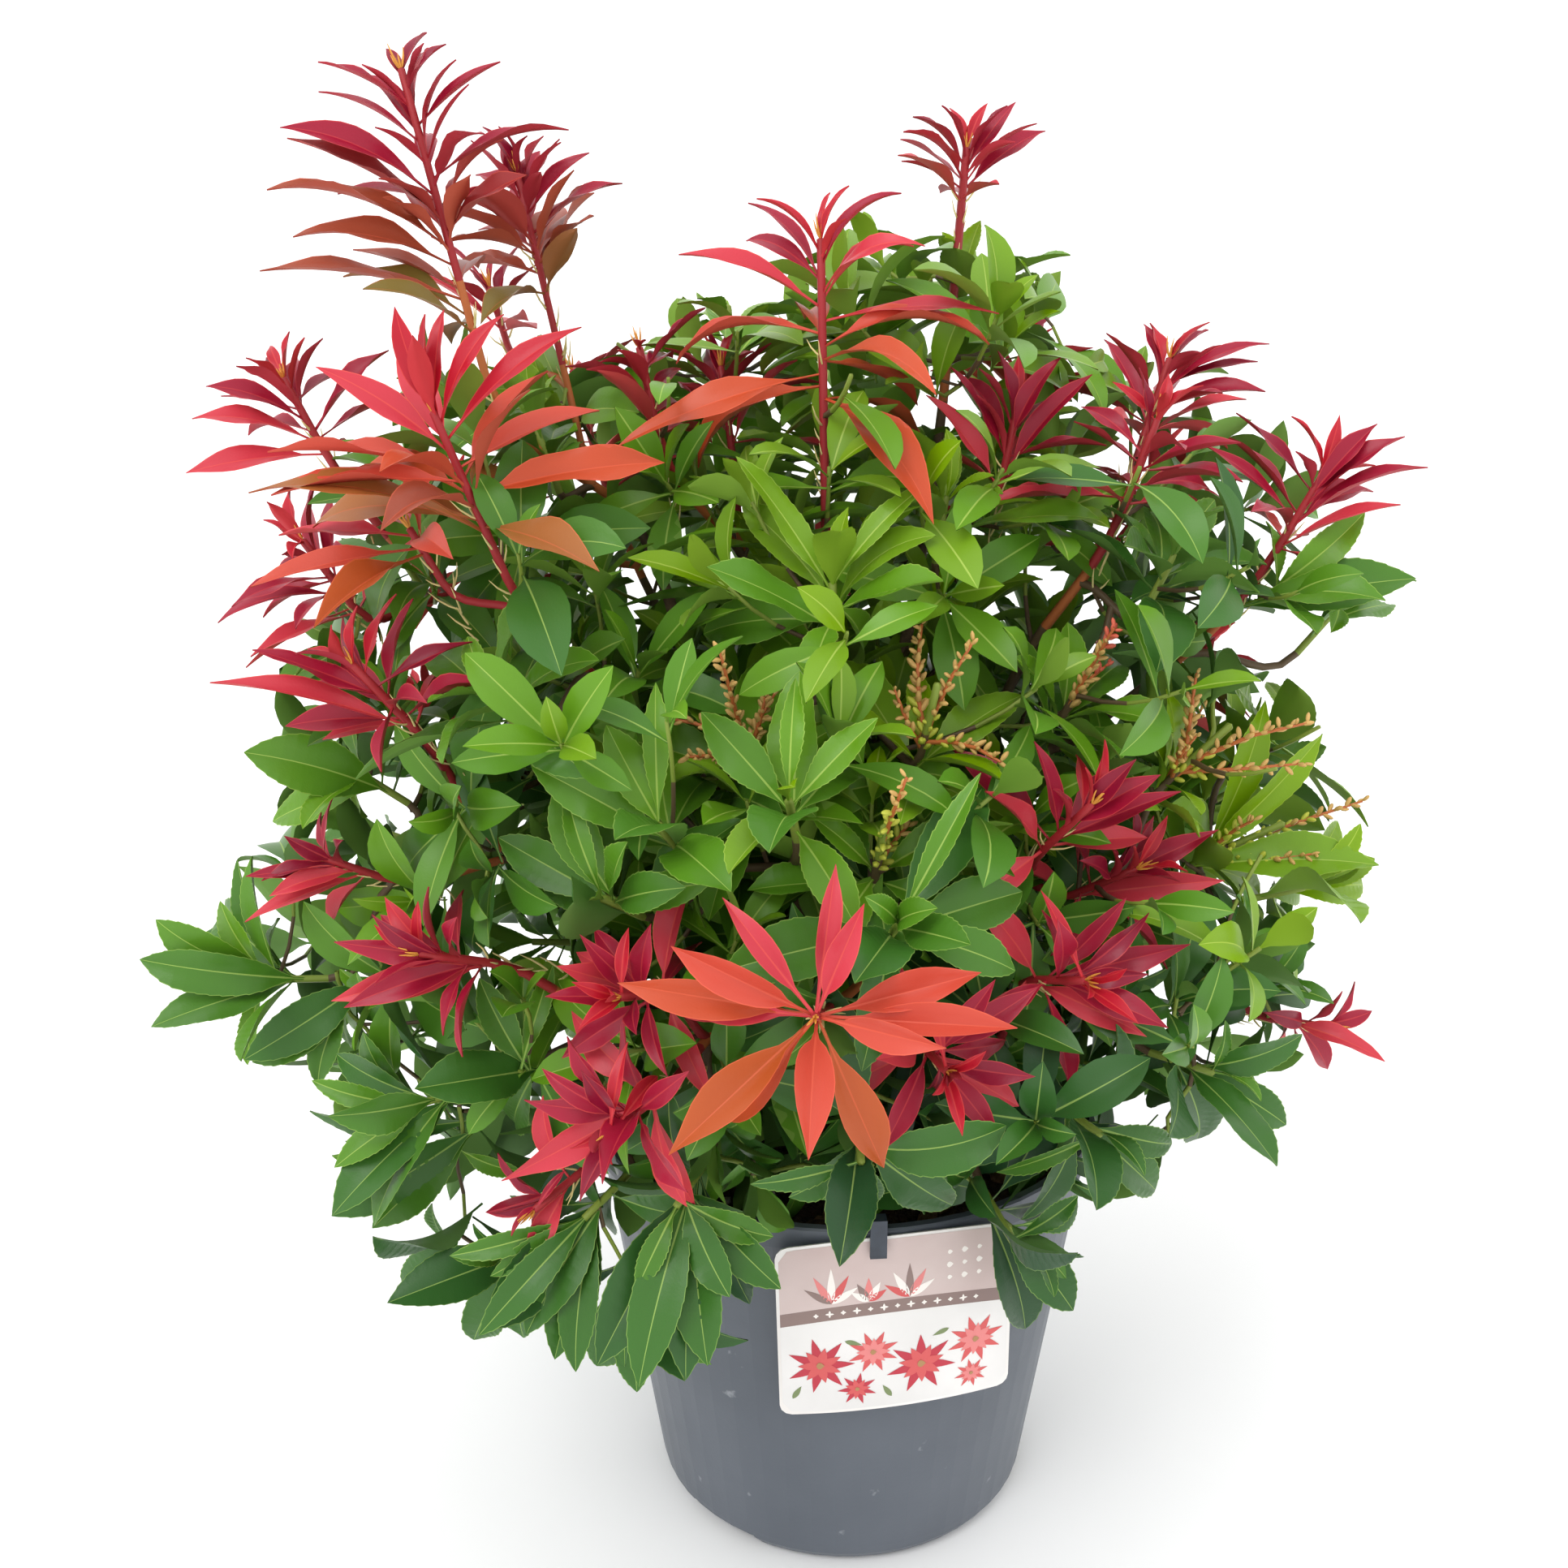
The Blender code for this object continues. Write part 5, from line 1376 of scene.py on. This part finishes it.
def leaf_materials(tones, rib, under):
    """An upper side, an underside, a midrib and a margin for each tone."""
    made = []
    for tone in tones:
        top = TONES[tone]
        rib_share = GREEN_RIB_SHARE if tone in GREEN_TONES else RED_RIB_SHARE
        made.append(grained(plain(f"{tone}_top", top, 0.36, 0.32), *LEAF_GRAIN))
        made.append(plain(f"{tone}_under", mixed(top, under, UNDER_SHARE), 0.60, 0.25))
        made.append(plain(f"{tone}_rib", mixed(top, rib, rib_share), 0.45, 0.3))
        made.append(plain(f"{tone}_margin", mixed(top, rib, RIB_IN_MARGIN), 0.45, 0.3))
    return made


def noise_ramp(made, scale, places, colours):
    """A colour that noise takes from one sRGB colour to another, between two of its values."""
    ramp = add_node(made, "ShaderNodeValToRGB", Fac=noise_of(made, scale, 5))
    for element, at, colour in zip(ramp.color_ramp.elements, places, colours):
        element.position, element.color = at, (*linear(colour), 1)
    return ramp.outputs["Color"]


def mottled(name, colours, scale, roughness, contrast=0.15, relief=(300, 0.0002), patches=None):
    """A material whose colour wanders between two sRGB colours, with relief; patches lay a third over it.

    scale is in features a metre; patches are (colour, scale, least noise that shows it, width of its edge).
    """
    made = grained(plain(name, colours[0], roughness), *relief)
    colour = noise_ramp(made, scale, (0.5 - contrast, 0.5 + contrast), colours)
    if patches:
        patch_colour, patch_scale, least, edge = patches
        mask = noise_ramp(made, patch_scale, (least, least + edge), ((0, 0, 0), (255, 255, 255)))
        mix = add_node(made, "ShaderNodeMix")
        mix.data_type = "RGBA"
        set_inputs(made, mix, Factor=mask, A=colour, B=(*linear(patch_colour), 1))
        colour = mix.outputs["Result"]
    set_inputs(made, shader_of(made), Base_Color=colour)
    return made


def pot_plastic():
    """Satin grey plastic, a little lighter in clouds, with pale scuffs and worn roughness."""
    made = mottled("pot_plastic", ((77, 83, 92), (90, 96, 105)), 9, 0.42, contrast=0.2,
                   relief=(420, 0.0002, 0.35), patches=((132, 136, 142), 60, 0.68, 0.05))
    wear = noise_of(made, 26, 2)
    span = add_node(made, "ShaderNodeMapRange", Value=wear, To_Min=0.34, To_Max=0.54)
    set_inputs(made, shader_of(made), Roughness=span.outputs["Result"])
    return made


def finish_carried_over():
    """Materials for the CAD nodes that show as they are."""
    clip = mottled("clip_plastic", ((44, 50, 60), (62, 70, 82)), 60, 0.36, relief=(900, 0.0001, 0.4))
    finishes = {
        "pot": pot_plastic(),
        "compost": mottled("compost", ((44, 32, 24), (82, 62, 46)), 160, 0.95, relief=(700, 0.0015, 0.9)),
        "label": mottled("card", ((226, 222, 218), (234, 231, 228)), 20, 0.34, relief=CARD_GRAIN),
        "label_clip": clip,
    }
    for name, made in finishes.items():
        NODES[name].data.materials.clear()
        NODES[name].data.materials.append(made)


# ------------------------------------------------------- dressing


class Dress:
    """The heaps that the plant's leaves, stems, bracts and buds go into."""

    def __init__(self, space):
        self.space = space
        foliage = [name for name in NODES if name.startswith("foliage_")]
        reds = [tone for tone in TONES if tone not in GREEN_TONES]
        stems = [grained(plain(name, colour, 0.5, 0.35), *STEM_GRAIN) for name, colour in STEM_TONES.items()]
        green_leaves = leaf_materials(GREEN_TONES, GREEN_RIB, GREEN_UNDER)
        self.greens = Heap("green_leaves", "green_leaves", green_leaves, foliage)
        self.reds = Heap("red_leaves", "red_leaves", leaf_materials(reds, RED_RIB, RED_UNDER), foliage)
        self.stems = Heap("twigs", "green_shoots", stems, foliage)
        self.bracts = Heap("bracts", "red_leaves", stems, foliage)
        self.buds = Heap("flower_buds", "flower_buds", stems, foliage)

    def keep_in_sight(self, start, end):
        """Keeps later leaves from hiding the line from start to end from the camera."""
        before = [point + (CAMERA_PLACE - point).normalized() * SIGHT_REACH for point in (start, end)]
        self.space.add("sight", [start, end, *reversed(before)], [(0, 1, 2), (0, 2, 3)])

    def keep_sky(self, start, end):
        """Keeps later leaves off the line between two pixels of the photo, at any distance."""
        rays = pixel_ray(start), pixel_ray(end)
        rows = [[CAMERA_PLACE + ray * depth / ray.y for ray in rays] for depth in SIGHT_DEPTHS]
        for near, far in zip(rows, rows[1:]):
            self.space.add("sight", [*near, *reversed(far)], [(0, 1, 2), (0, 2, 3)])

    def fits(self, leaf, blades, forced):
        """True where a leaf crosses nothing placed before and, unless forced, hides nothing to be seen."""
        points, faces = leaf_outline(leaf, ROOT_ROW)
        if min(p.z for p in points) < LEAF_LOWEST:
            return False
        if not self.space.clear(points, faces, ("sight",) if forced else ()):
            return False
        if not forced and not all(seen_clear(points[i]) for i in BLADE_POINTS):
            return False
        blade = blade_tree(leaf)
        return not any(blade.overlap(other) for other in blades)

    def leaf(self, tone, tries, rows, blades, forced):
        """Adds a leaf at its first try that fits, or a forced one at its first try; gives its outline."""
        fitting = (leaf for leaf in tries if self.fits(leaf, blades, forced))
        leaf = next(fitting, tries[0] if forced and tries else None)
        if leaf is None:
            return None
        blades.append(blade_tree(leaf))
        green = tone in GREEN_TONES
        points, quads, kinds = coarse_leaf_mesh(leaf) if rows is COARSE else leaf_mesh(leaf, rows, green)
        heap = self.greens if green else self.reds
        heap.add(points, quads, kinds + heap.index[f"{tone}_top"])
        return leaf_outline(leaf, ROOT_ROW)

    def whorl(self, leaves, tones, rows, blades, forced=False):
        """Adds a whorl's leaves, which may touch each other near the stem but no other whorl's."""
        placed = [self.leaf(at_share(tones, share), tries, rows, blades, forced) for share, tries in leaves]
        for outline in filter(None, placed):
            self.space.add("leaf", *outline)
            if forced:
                self.keep_in_sight(outline[0][1], outline[0][-2])

    def twig(self, limb, tones, tip=None, steps=6, sides=6):
        """A smooth twig along a limb's curve and on to its tip, in tones by their reach back from the tip."""
        path = curve_points(*limb.ends, steps)
        if tip is not None and (tip - path[-1]).length > TWIG_LEAST_TIP:
            path += [path[-1].lerp(tip, share) for share in THIRDS[1:]]
        radii = tapering(limb.radii[0], limb.radii[-1], len(path))
        self.tube(self.stems, path, radii, tones, sides)

    def tube(self, heap, path, radii, tones, sides):
        """A round-tipped tube; tones lists (metres back from its tip up to which it holds, tone)."""
        path = [*path, path[-1] + (path[-1] - path[-2]).normalized() * radii[-1] * TUBE_END]
        points, _ = tube(path, [*radii, radii[-1] * TUBE_POINT], sides, path[1] - path[0])
        ends = [(path[-1] - (a + b) / 2).length for a, b in zip(path, path[1:])]
        kinds = [next((tone for reach, tone in tones if end < reach), tones[-1][1]) for end in ends]
        numbers = np.repeat([heap.index[kind] for kind in kinds], sides)
        heap.add(np.array(points), tube_quads(len(path), sides), numbers)

    def thread(self, root, along, droop, length, radius, tone):
        """A thin curved bract or scale."""
        path = [root + along * length * out + droop * length * down for out, down, _ in THREAD_FORM]
        radii = [radius * share for _, _, share in THREAD_FORM]
        self.tube(self.bracts, path, radii, ((1, tone),), THREAD_SIDES)

    def stem_bracts(self, tip, way, zone, chance):
        """Pale threads along a red shoot's bare stem, and a tuft of young scales at its tip."""
        first, last = zone * BRACT_FROM, zone + BRACT_BELOW
        for i in range(BRACTS):
            root = tip - way * (first + (last - first) * (i + chance.random()) / BRACTS)
            along, _ = turned_out(way, random_angle(BRACT_ANGLES, chance), chance.uniform(0, math.tau))
            self.thread(root, along, way, chance.uniform(*BRACT_LENGTHS), BRACT_RADIUS, "bract")
        for i in range(TUFT_SCALES):
            along, _ = turned_out(way, random_angle(TUFT_ANGLES, chance), i * GOLDEN_ANGLE)
            self.thread(tip, along, way, chance.uniform(*TUFT_LENGTHS), TUFT_RADIUS, "tuft")

    def bead(self, centre, along, size, tone):
        """One flower bud."""
        path = [centre + along * size * step for step, _ in BEAD_FORM]
        self.tube(self.buds, path, [size * share for _, share in BEAD_FORM], ((1, tone),), BEAD_SIDES)

    def raceme(self, base, way, length, tones, chance):
        """One spike of flower buds on a thin curved stalk."""
        lean = random_turn(SPIKE_LEAN, chance)
        path = [base + (way + lean * share) * length * share for share in THIRDS]
        self.tube(self.buds, path, SPIKE_RADII, ((1, "orange_stem"),), SPIKE_SIDES)
        self.keep_in_sight(path[0], path[-1])
        beads = int(length / BEAD_SPACING)
        for i in range(FIRST_BEAD, beads + 1):
            share = i / beads
            place = base + (way + lean * share) * length * share
            out, _ = turned_out(way, random_angle(BEAD_ANGLES, chance), i * GOLDEN_ANGLE)
            size = BEAD * chance.uniform(*BEAD_SPREAD) * (BEAD_AT_FOOT - BEAD_TAPER * share)
            tone = at_share(tones, share + chance.uniform(-BEAD_TONE_SPREAD, BEAD_TONE_SPREAD))
            self.bead(place + out * (BEAD_STALK + size), out, size, tone)

    def panicle(self, tip, way, tones, spikes, chance):
        """A head of flower buds: a leading raceme and a few side ones."""
        base = tip - way * PANICLE_BELOW
        self.raceme(base, way, PANICLE_BELOW + PANICLE_ABOVE, tones, chance)
        for i in range(spikes):
            angle, around = random_angle(SPIKE_ANGLES, chance), i * GOLDEN_ANGLE + chance.uniform(0, 1)
            out, _ = turned_out(way, angle, around)
            self.raceme(base + way * SPIKE_SPACING * i, out, chance.uniform(*SPIKE_LENGTHS), tones, chance)


def keep_views(dress):
    """Keeps leaves off the label's top edge, and off the gaps through which the photo shows the sky."""
    line = [label_point(LABEL_WIDTH * share, LABEL_LINE_DOWN, LABEL_LINE_LIFT) for share in LABEL_LINE_SHARES]
    for start, end in zip(line, line[1:]):
        dress.keep_in_sight(start, end)
    for left, top, right, foot in SKY_GAPS:
        dress.keep_sky((left, top), (right, foot))
        dress.keep_sky((left, foot), (right, top))


def leafy_tip(shoot):
    """The place of a leading shoot's topmost leaf, the way that it grows, and its look."""
    way, look = shoot_way(shoot.tip), LOOKS[shoot.kind]
    below, zone = LEAFY.get(shoot.place, (PANICLE_BELOW if shoot.kind == "buds" else 0, look.zone))
    return shoot.tip - way * below, way, look._replace(zone=zone)


def dress_seen_shoot(dress, shoot, chance):
    """The leaves of a leading shoot that the photo shows."""
    tip, way, look = leafy_tip(shoot)
    tones = look.tones or green_tones(shoot.tip, chance)
    if shoot.seen:
        rows = SMOOTH if look.tones else TOOTHED
        dress.whorl(seen_leaves(look, tip, way, shoot.seen, chance), tones, rows, shoot.blades, True)
        if look.tones:
            dress.keep_in_sight(shoot.tip, shoot_foot(shoot.kind, shoot.tip))


def dress_seen_side(dress, shoot, chance):
    """The leaves of a finer twig that the photo shows."""
    leaves = seen_leaves(LOOKS["green"], shoot.tip, shoot.twig.ends[3].normalized(), shoot.seen, chance)
    dress.whorl(leaves, green_tones(shoot.tip, chance), TOOTHED, shoot.blades, True)


def dress_buds(dress, shoot, chance):
    """A leading shoot's head of flower buds."""
    tones, spikes = PANICLES.get(shoot.place[0], COMMON_PANICLE)
    dress.panicle(shoot.tip, shoot_way(shoot.tip), tones, spikes, chance)


def dress_shoot(dress, shoot, chance):
    """A leading shoot's stem, its bracts if it is red, and the leaves that it still lacks."""
    tip, way, look = leafy_tip(shoot)
    tones = look.tones or green_tones(shoot.tip, chance)
    if not shoot.place and in_sky(shoot.tip):
        return
    if shoot.kind in REDDISH:
        red, orange = REDDISH[shoot.kind]
        dress.twig(shoot.twig, ((red, "red_stem"), (orange, "orange_stem"), (1, "wood")), tip)
        dress.stem_bracts(tip, way, look.zone, chance)
    else:
        dress.twig(shoot.twig, WOODY, shoot.tip)
    lacking = max(0, look.leaves - len(shoot.blades))
    rows = SMOOTH if look.tones else TOOTHED
    dress.whorl(whorl_leaves(look, tip, way, lacking, chance), tones, rows, shoot.blades)


def dress_side(dress, shoot, chance):
    """A finer twig and the leaves that it still lacks, coarser ones inside the crown."""
    dress.twig(shoot.twig, WOODY, steps=4, sides=4)
    outer = crown_depth(shoot.tip) > OUTER_DEPTH
    look, rows = (LOOKS["side"], PLAIN) if outer else (LOOKS["inner"], COARSE)
    tones, way = green_tones(shoot.tip, chance), shoot.twig.ends[3].normalized()
    lacking = max(0, look.leaves - len(shoot.blades))
    dress.whorl(whorl_leaves(look, shoot.tip, way, lacking, chance), tones, rows, shoot.blades)


def dress_plant(shoots, sides):
    """Dresses the twigs, what the photo shows first, so that the other leaves keep clear of it."""
    chance = random.Random(DRESS_SEED)
    dress = Dress(carried_over_space())
    keep_views(dress)
    for shoot in shoots:
        dress_seen_shoot(dress, shoot, chance)
    for shoot in (side for side in sides if side.seen):
        dress_seen_side(dress, shoot, chance)
    for shoot in (shoot for shoot in shoots if shoot.kind == "buds"):
        dress_buds(dress, shoot, chance)
    for shoot in sorted(shoots, key=lambda shoot: shoot.kind not in REDDISH):
        dress_shoot(dress, shoot, chance)
    for shoot in sides:
        dress_side(dress, shoot, chance)
    for heap in (dress.greens, dress.reds, dress.stems, dress.bracts, dress.buds):
        heap.make()


def furrowed_tube(limb, number):
    """A limb's bark: a closed tube whose rings are drawn in and out along long furrows."""
    length = sum((b - a).length for a, b in zip(limb.path, limb.path[1:]))
    steps = max(BARK_LEAST_STEPS, int(length / BARK_STEP)) * (1 if limb.ends else 2)
    shares = [i / steps for i in range(steps + 1)]
    path = curve_points(*limb.ends, steps) if limb.ends else [limb.at(share)[0] for share in shares]
    radii = [limb.at(share)[2] for share in shares]
    end, point = BARK_END
    path.append(path[-1] + (path[-1] - path[-2]).normalized() * radii[-1] * end)
    radii.append(radii[-1] * point)
    points, _ = tube(path, radii, BARK_SIDES, limb.start_way)
    travelled = 0.0
    for i, centre in enumerate(path):
        travelled += (centre - path[i - 1]).length if i else 0.0
        for j in range(BARK_SIDES):
            turn, k = math.tau * j / BARK_SIDES, i * BARK_SIDES + j
            place = Vector((math.cos(turn) * BARK_ROUND, math.sin(turn) * BARK_ROUND,
                            travelled * BARK_LENGTHS + BARK_APART * number))
            fine = BARK_FINE_SHARE * noise.noise(place * BARK_FINE)
            rise = BARK_RELIEF * (noise.noise(place) + fine)
            points[k] = centre + (points[k] - centre) * (1 + rise)
    return np.array(points), tube_quads(len(path), BARK_SIDES)


def dress_limbs(limbs):
    """The trunk and boughs with their bark."""
    bark = mottled("bark", ((84, 64, 48), (138, 114, 88)), 110, 0.85, contrast=0.2, relief=(500, 0.0008, 0.8),
                   patches=((96, 104, 70), 45, 0.60, 0.12))
    heap = Heap("wood", "bark", [bark], ["trunk"] + [f"bough_{name}" for name in limbs if name != "trunk"])
    for number, limb in enumerate(limbs.values()):
        points, quads = furrowed_tube(limb, number)
        heap.add(points, quads, np.zeros(len(quads), int))
    heap.make()


def chip(spot, normal, kind, chance):
    """The points of one chip or grain of grit that lies on the compost."""
    size = chance.uniform(*CHIP_SIZES) * (GRIT_SIZE if kind == GRIT else 1)
    thick = size * chance.uniform(*CHIP_THICKNESS)
    stretch = chance.uniform(*(GRIT_STRETCH if kind == GRIT else CHIP_STRETCH))
    way = (normal + random_turn(CHIP_TILT, chance)).normalized()
    path = [spot + way * (rise * thick) for rise, _ in CHIP_FORM]
    points, _ = tube(path, [size * share for _, share in CHIP_FORM], CHIP_SIDES, way)
    long_way = way.cross(random_turn(1, chance)).normalized()
    return [p + long_way * (p - spot).dot(long_way) * (stretch - 1)
            + random_turn(size * CHIP_ROUGHNESS, chance) for p in points]


def strew_chips():
    """Chips of bark and a few pale grains of grit, lying on the compost."""
    chance = random.Random(DRESS_SEED)
    ground = BVHTree.FromPolygons(*node_faces("compost"))
    kinds = (mottled("chip_dark", ((58, 40, 28), (86, 62, 44)), 300, 0.9, relief=(900, 0.0006, 0.8)),
             mottled("chip_brown", ((104, 76, 50), (132, 100, 70)), 300, 0.85, relief=(900, 0.0006, 0.8)),
             mottled("grit", ((196, 192, 182), (226, 222, 214)), 400, 0.8, relief=(900, 0.0003, 0.6)))
    heap = Heap("compost_chips", "compost", kinds)
    quads = tube_quads(len(CHIP_FORM), CHIP_SIDES)
    for _ in range(CHIPS):
        away, turn = CHIP_REACH * math.sqrt(chance.random()), chance.uniform(0, math.tau)
        if away < CHIP_NEAREST:
            continue
        above = Vector((away * math.cos(turn), away * math.sin(turn), CHIP_FALL_FROM))
        spot, normal, _, _ = ground.ray_cast(above, -UP)
        if spot is None:
            continue
        kind = chance.choice(CHIP_KINDS)
        heap.add(np.array(chip(spot, normal, kind, chance)), quads, np.full(len(quads), kind))
    heap.make()


# ------------------------------------------------------- the label's print


class Print:
    """The card's printed design, laid on it layer by layer as thin inks."""

    def __init__(self):
        fields = {"blush": ((206, 188, 184), (190, 168, 164)), "taupe": ((138, 116, 110), (128, 106, 102)),
                  "paper": ((228, 226, 224), (216, 214, 212))}
        flat = {"cream": (240, 234, 228), "crimson_ink": (184, 44, 62), "coral_ink": (206, 84, 84),
                "rose_ink": (222, 128, 126), "ochre_ink": (170, 128, 84), "green_ink": (118, 134, 88)}
        inks = [mottled(name, two, 14, 0.3, relief=CARD_GRAIN) for name, two in fields.items()]
        inks += [grained(plain(name, colour, 0.3), *CARD_GRAIN) for name, colour in flat.items()]
        self.heap = Heap("label_print", "label_card", inks)

    def lay(self, rows, layer, ink):
        """rows of (across, down) places on the card, in metres, the same number in each."""
        lift = GAP + LABEL_THICKNESS + INK_LIFT * layer
        points = [label_point(across, down, lift) for row in rows for across, down in row]
        quads = grid_quads(len(rows), len(rows[0]))[:, ::-1]
        self.heap.add(np.array(points), quads, np.full(len(quads), self.heap.index[ink]))

    def field(self, top, foot, ink):
        """A band across the card between two heights, each a function of the place across."""
        columns = [PRINT_HALF * (2 * i / (FIELD_COLUMNS - 1) - 1) for i in range(FIELD_COLUMNS)]
        self.lay([[(x, top(x) + (foot(x) - top(x)) * share) for x in columns] for share in THIRDS], 1, ink)

    def petal(self, x, down, degrees, length, width, layer, ink):
        """A leaf-shaped spot from a point, in a direction measured from across towards up."""
        along, aside = math.cos(math.radians(degrees)), math.sin(math.radians(degrees))
        rows = []
        for i in range(PETAL_ROWS):
            share = i / (PETAL_ROWS - 1)
            half = width / 2 * math.sin(math.pi * share**PETAL_POWER) * (1 - PETAL_TAPER * share)
            rows.append([(x + length * share * along - side * half * aside,
                          down - length * share * aside - side * half * along) for side in (-1, 0, 1)])
        self.lay(rows, layer, ink)

    def dot(self, x, down, radius, layer, ink):
        self.petal(x - radius, down, 0, 2 * radius, DOT_WIDTH * radius, layer, ink)

    def rosette(self, x, down, reach, petals, inks, start):
        """A flower of leaf shapes seen from above, two rings deep."""
        for ring, ink in enumerate(inks):
            length = reach * (1 - ROSETTE_INNER * ring)
            for i in range(petals):
                degrees = start + (360 * (i + 0.5 * ring)) / petals
                self.petal(x, down, degrees, length, reach * PETAL_WIDTH, 3 + ring, ink)
        self.dot(x, down, reach * HEART, 6, "ochre_ink")


def arched(down):
    """A line across the card that is this far down at its sides and higher in the middle."""
    return lambda x: down - BAND_ARCH * (1 - (x / PRINT_HALF) ** 2)


def print_fields(card):
    """The card's three fields of colour, with rounded corners, and the arched band between two of them."""
    def corner_rise(x):
        past = max(0.0, abs(x) - (PRINT_HALF - LABEL_CORNER))
        return math.sqrt(max(0.0, LABEL_CORNER**2 - past**2))

    def card_top(x):
        return PRINT_MARGIN + LABEL_CORNER - corner_rise(x) - LABEL_CROWN * (1 - (x / PRINT_HALF) ** 2)

    def card_foot(x):
        return LABEL_HEIGHT - PRINT_MARGIN - LABEL_CORNER + corner_rise(x)

    card.field(card_top, arched(BAND_TOP), "blush")
    card.field(arched(BAND_TOP), arched(BAND_FOOT), "taupe")
    card.field(arched(BAND_FOOT), card_foot, "paper")


def print_band_marks(card):
    """Small crosses along the band, every second one larger."""
    for i in range(BAND_MARKS):
        x = BAND_MARK_SPACING * (i - BAND_MARKS // 2)
        for degrees in (0, 90, 180, 270):
            length = BAND_MARK_LENGTHS[i % 2]
            card.petal(x, arched(BAND_MIDDLE)(x), degrees, length, BAND_MARK_WIDTH, 2, "cream")


def print_fans(card):
    """Fans of petals in the upper field."""
    first, step = FAN_ANGLES
    for number, (x, reach) in enumerate(FANS):
        for i in range(len(FAN_INKS)):
            ink = FAN_INKS[(i + number) % len(FAN_INKS)]
            length = reach * (1 - FAN_TAPER * abs(i - len(FAN_INKS) // 2))
            card.petal(x, FAN_DOWN, first + step * i, length, FAN_WIDTH, 2, ink)


def print_label():
    """A generic design: fans and dots on blush, a taupe band, and red rosettes with sprigs on off-white."""
    card = Print()
    print_fields(card)
    print_band_marks(card)
    print_fans(card)
    left, top = DOT_PLACE
    for i in range(DOTS_ACROSS**2):
        x, down = left + DOT_SPACING * (i % DOTS_ACROSS), top + DOT_SPACING * (i // DOTS_ACROSS)
        card.dot(x, down, DOT_RADII[i % 2], 2, "cream")
    for number, (x, down, reach) in enumerate(ROSETTES):
        kind = number % 2
        card.rosette(x, down, reach, ROSETTE_PETALS[kind], ROSETTE_INKS[kind], ROSETTE_TURN * number)
    for x, down, degrees in SPRIGS:
        card.petal(x, down, degrees, *SPRIG_SIZE, 2, "green_ink")
    card.heap.make()


# ------------------------------------------------------- stage


def set_camera():
    data = bpy.data.cameras.new("camera")
    data.sensor_width = SENSOR
    data.lens = SENSOR * FOCAL_PIXELS / PICTURE_SIDE
    data.clip_start = 0.01
    camera = in_scene("camera", data)
    camera.matrix_world = Matrix.Translation(CAMERA_PLACE) @ CAMERA_TURN.to_4x4()
    bpy.context.scene.camera = camera


def set_lights():
    """A white sky, and a soft sun from the front on the left."""
    bpy.context.scene.view_settings.view_transform = "Standard"
    world = bpy.data.worlds.new("studio")
    bpy.context.scene.world = world
    world.use_nodes = True
    sky = world.node_tree.nodes["Background"]
    sky.inputs["Color"].default_value = (1, 1, 1, 1)
    sky.inputs["Strength"].default_value = SKY_STRENGTH
    data = bpy.data.lights.new("sun", "SUN")
    data.energy, data.angle = SUN_STRENGTH, SUN_SPREAD
    sun = in_scene("sun", data)
    sun.location = SUN_PLACE
    sun.rotation_euler = (SUN_AIM - SUN_PLACE).to_track_quat("-Z", "Y").to_euler()


def set_floor():
    mesh = bpy.data.meshes.new("floor")
    corners = ((-1, -1), (1, -1), (1, 1), (-1, 1))
    mesh.from_pydata([(x * FLOOR_HALF, y * FLOOR_HALF, 0) for x, y in corners], [], [(0, 1, 2, 3)])
    mesh.materials.append(plain("floor", (245, 245, 245), 0.8))
    in_scene("floor", mesh)


def main():
    limbs, shoots = grow_skeleton(carried_over_space())
    sides = grow_side_shoots(limbs, shoots, random.Random(DRESS_SEED))
    dress_limbs(limbs)
    dress_plant(shoots, sides)
    strew_chips()
    print_label()
    finish_carried_over()
    set_camera()
    set_lights()
    set_floor()


main()
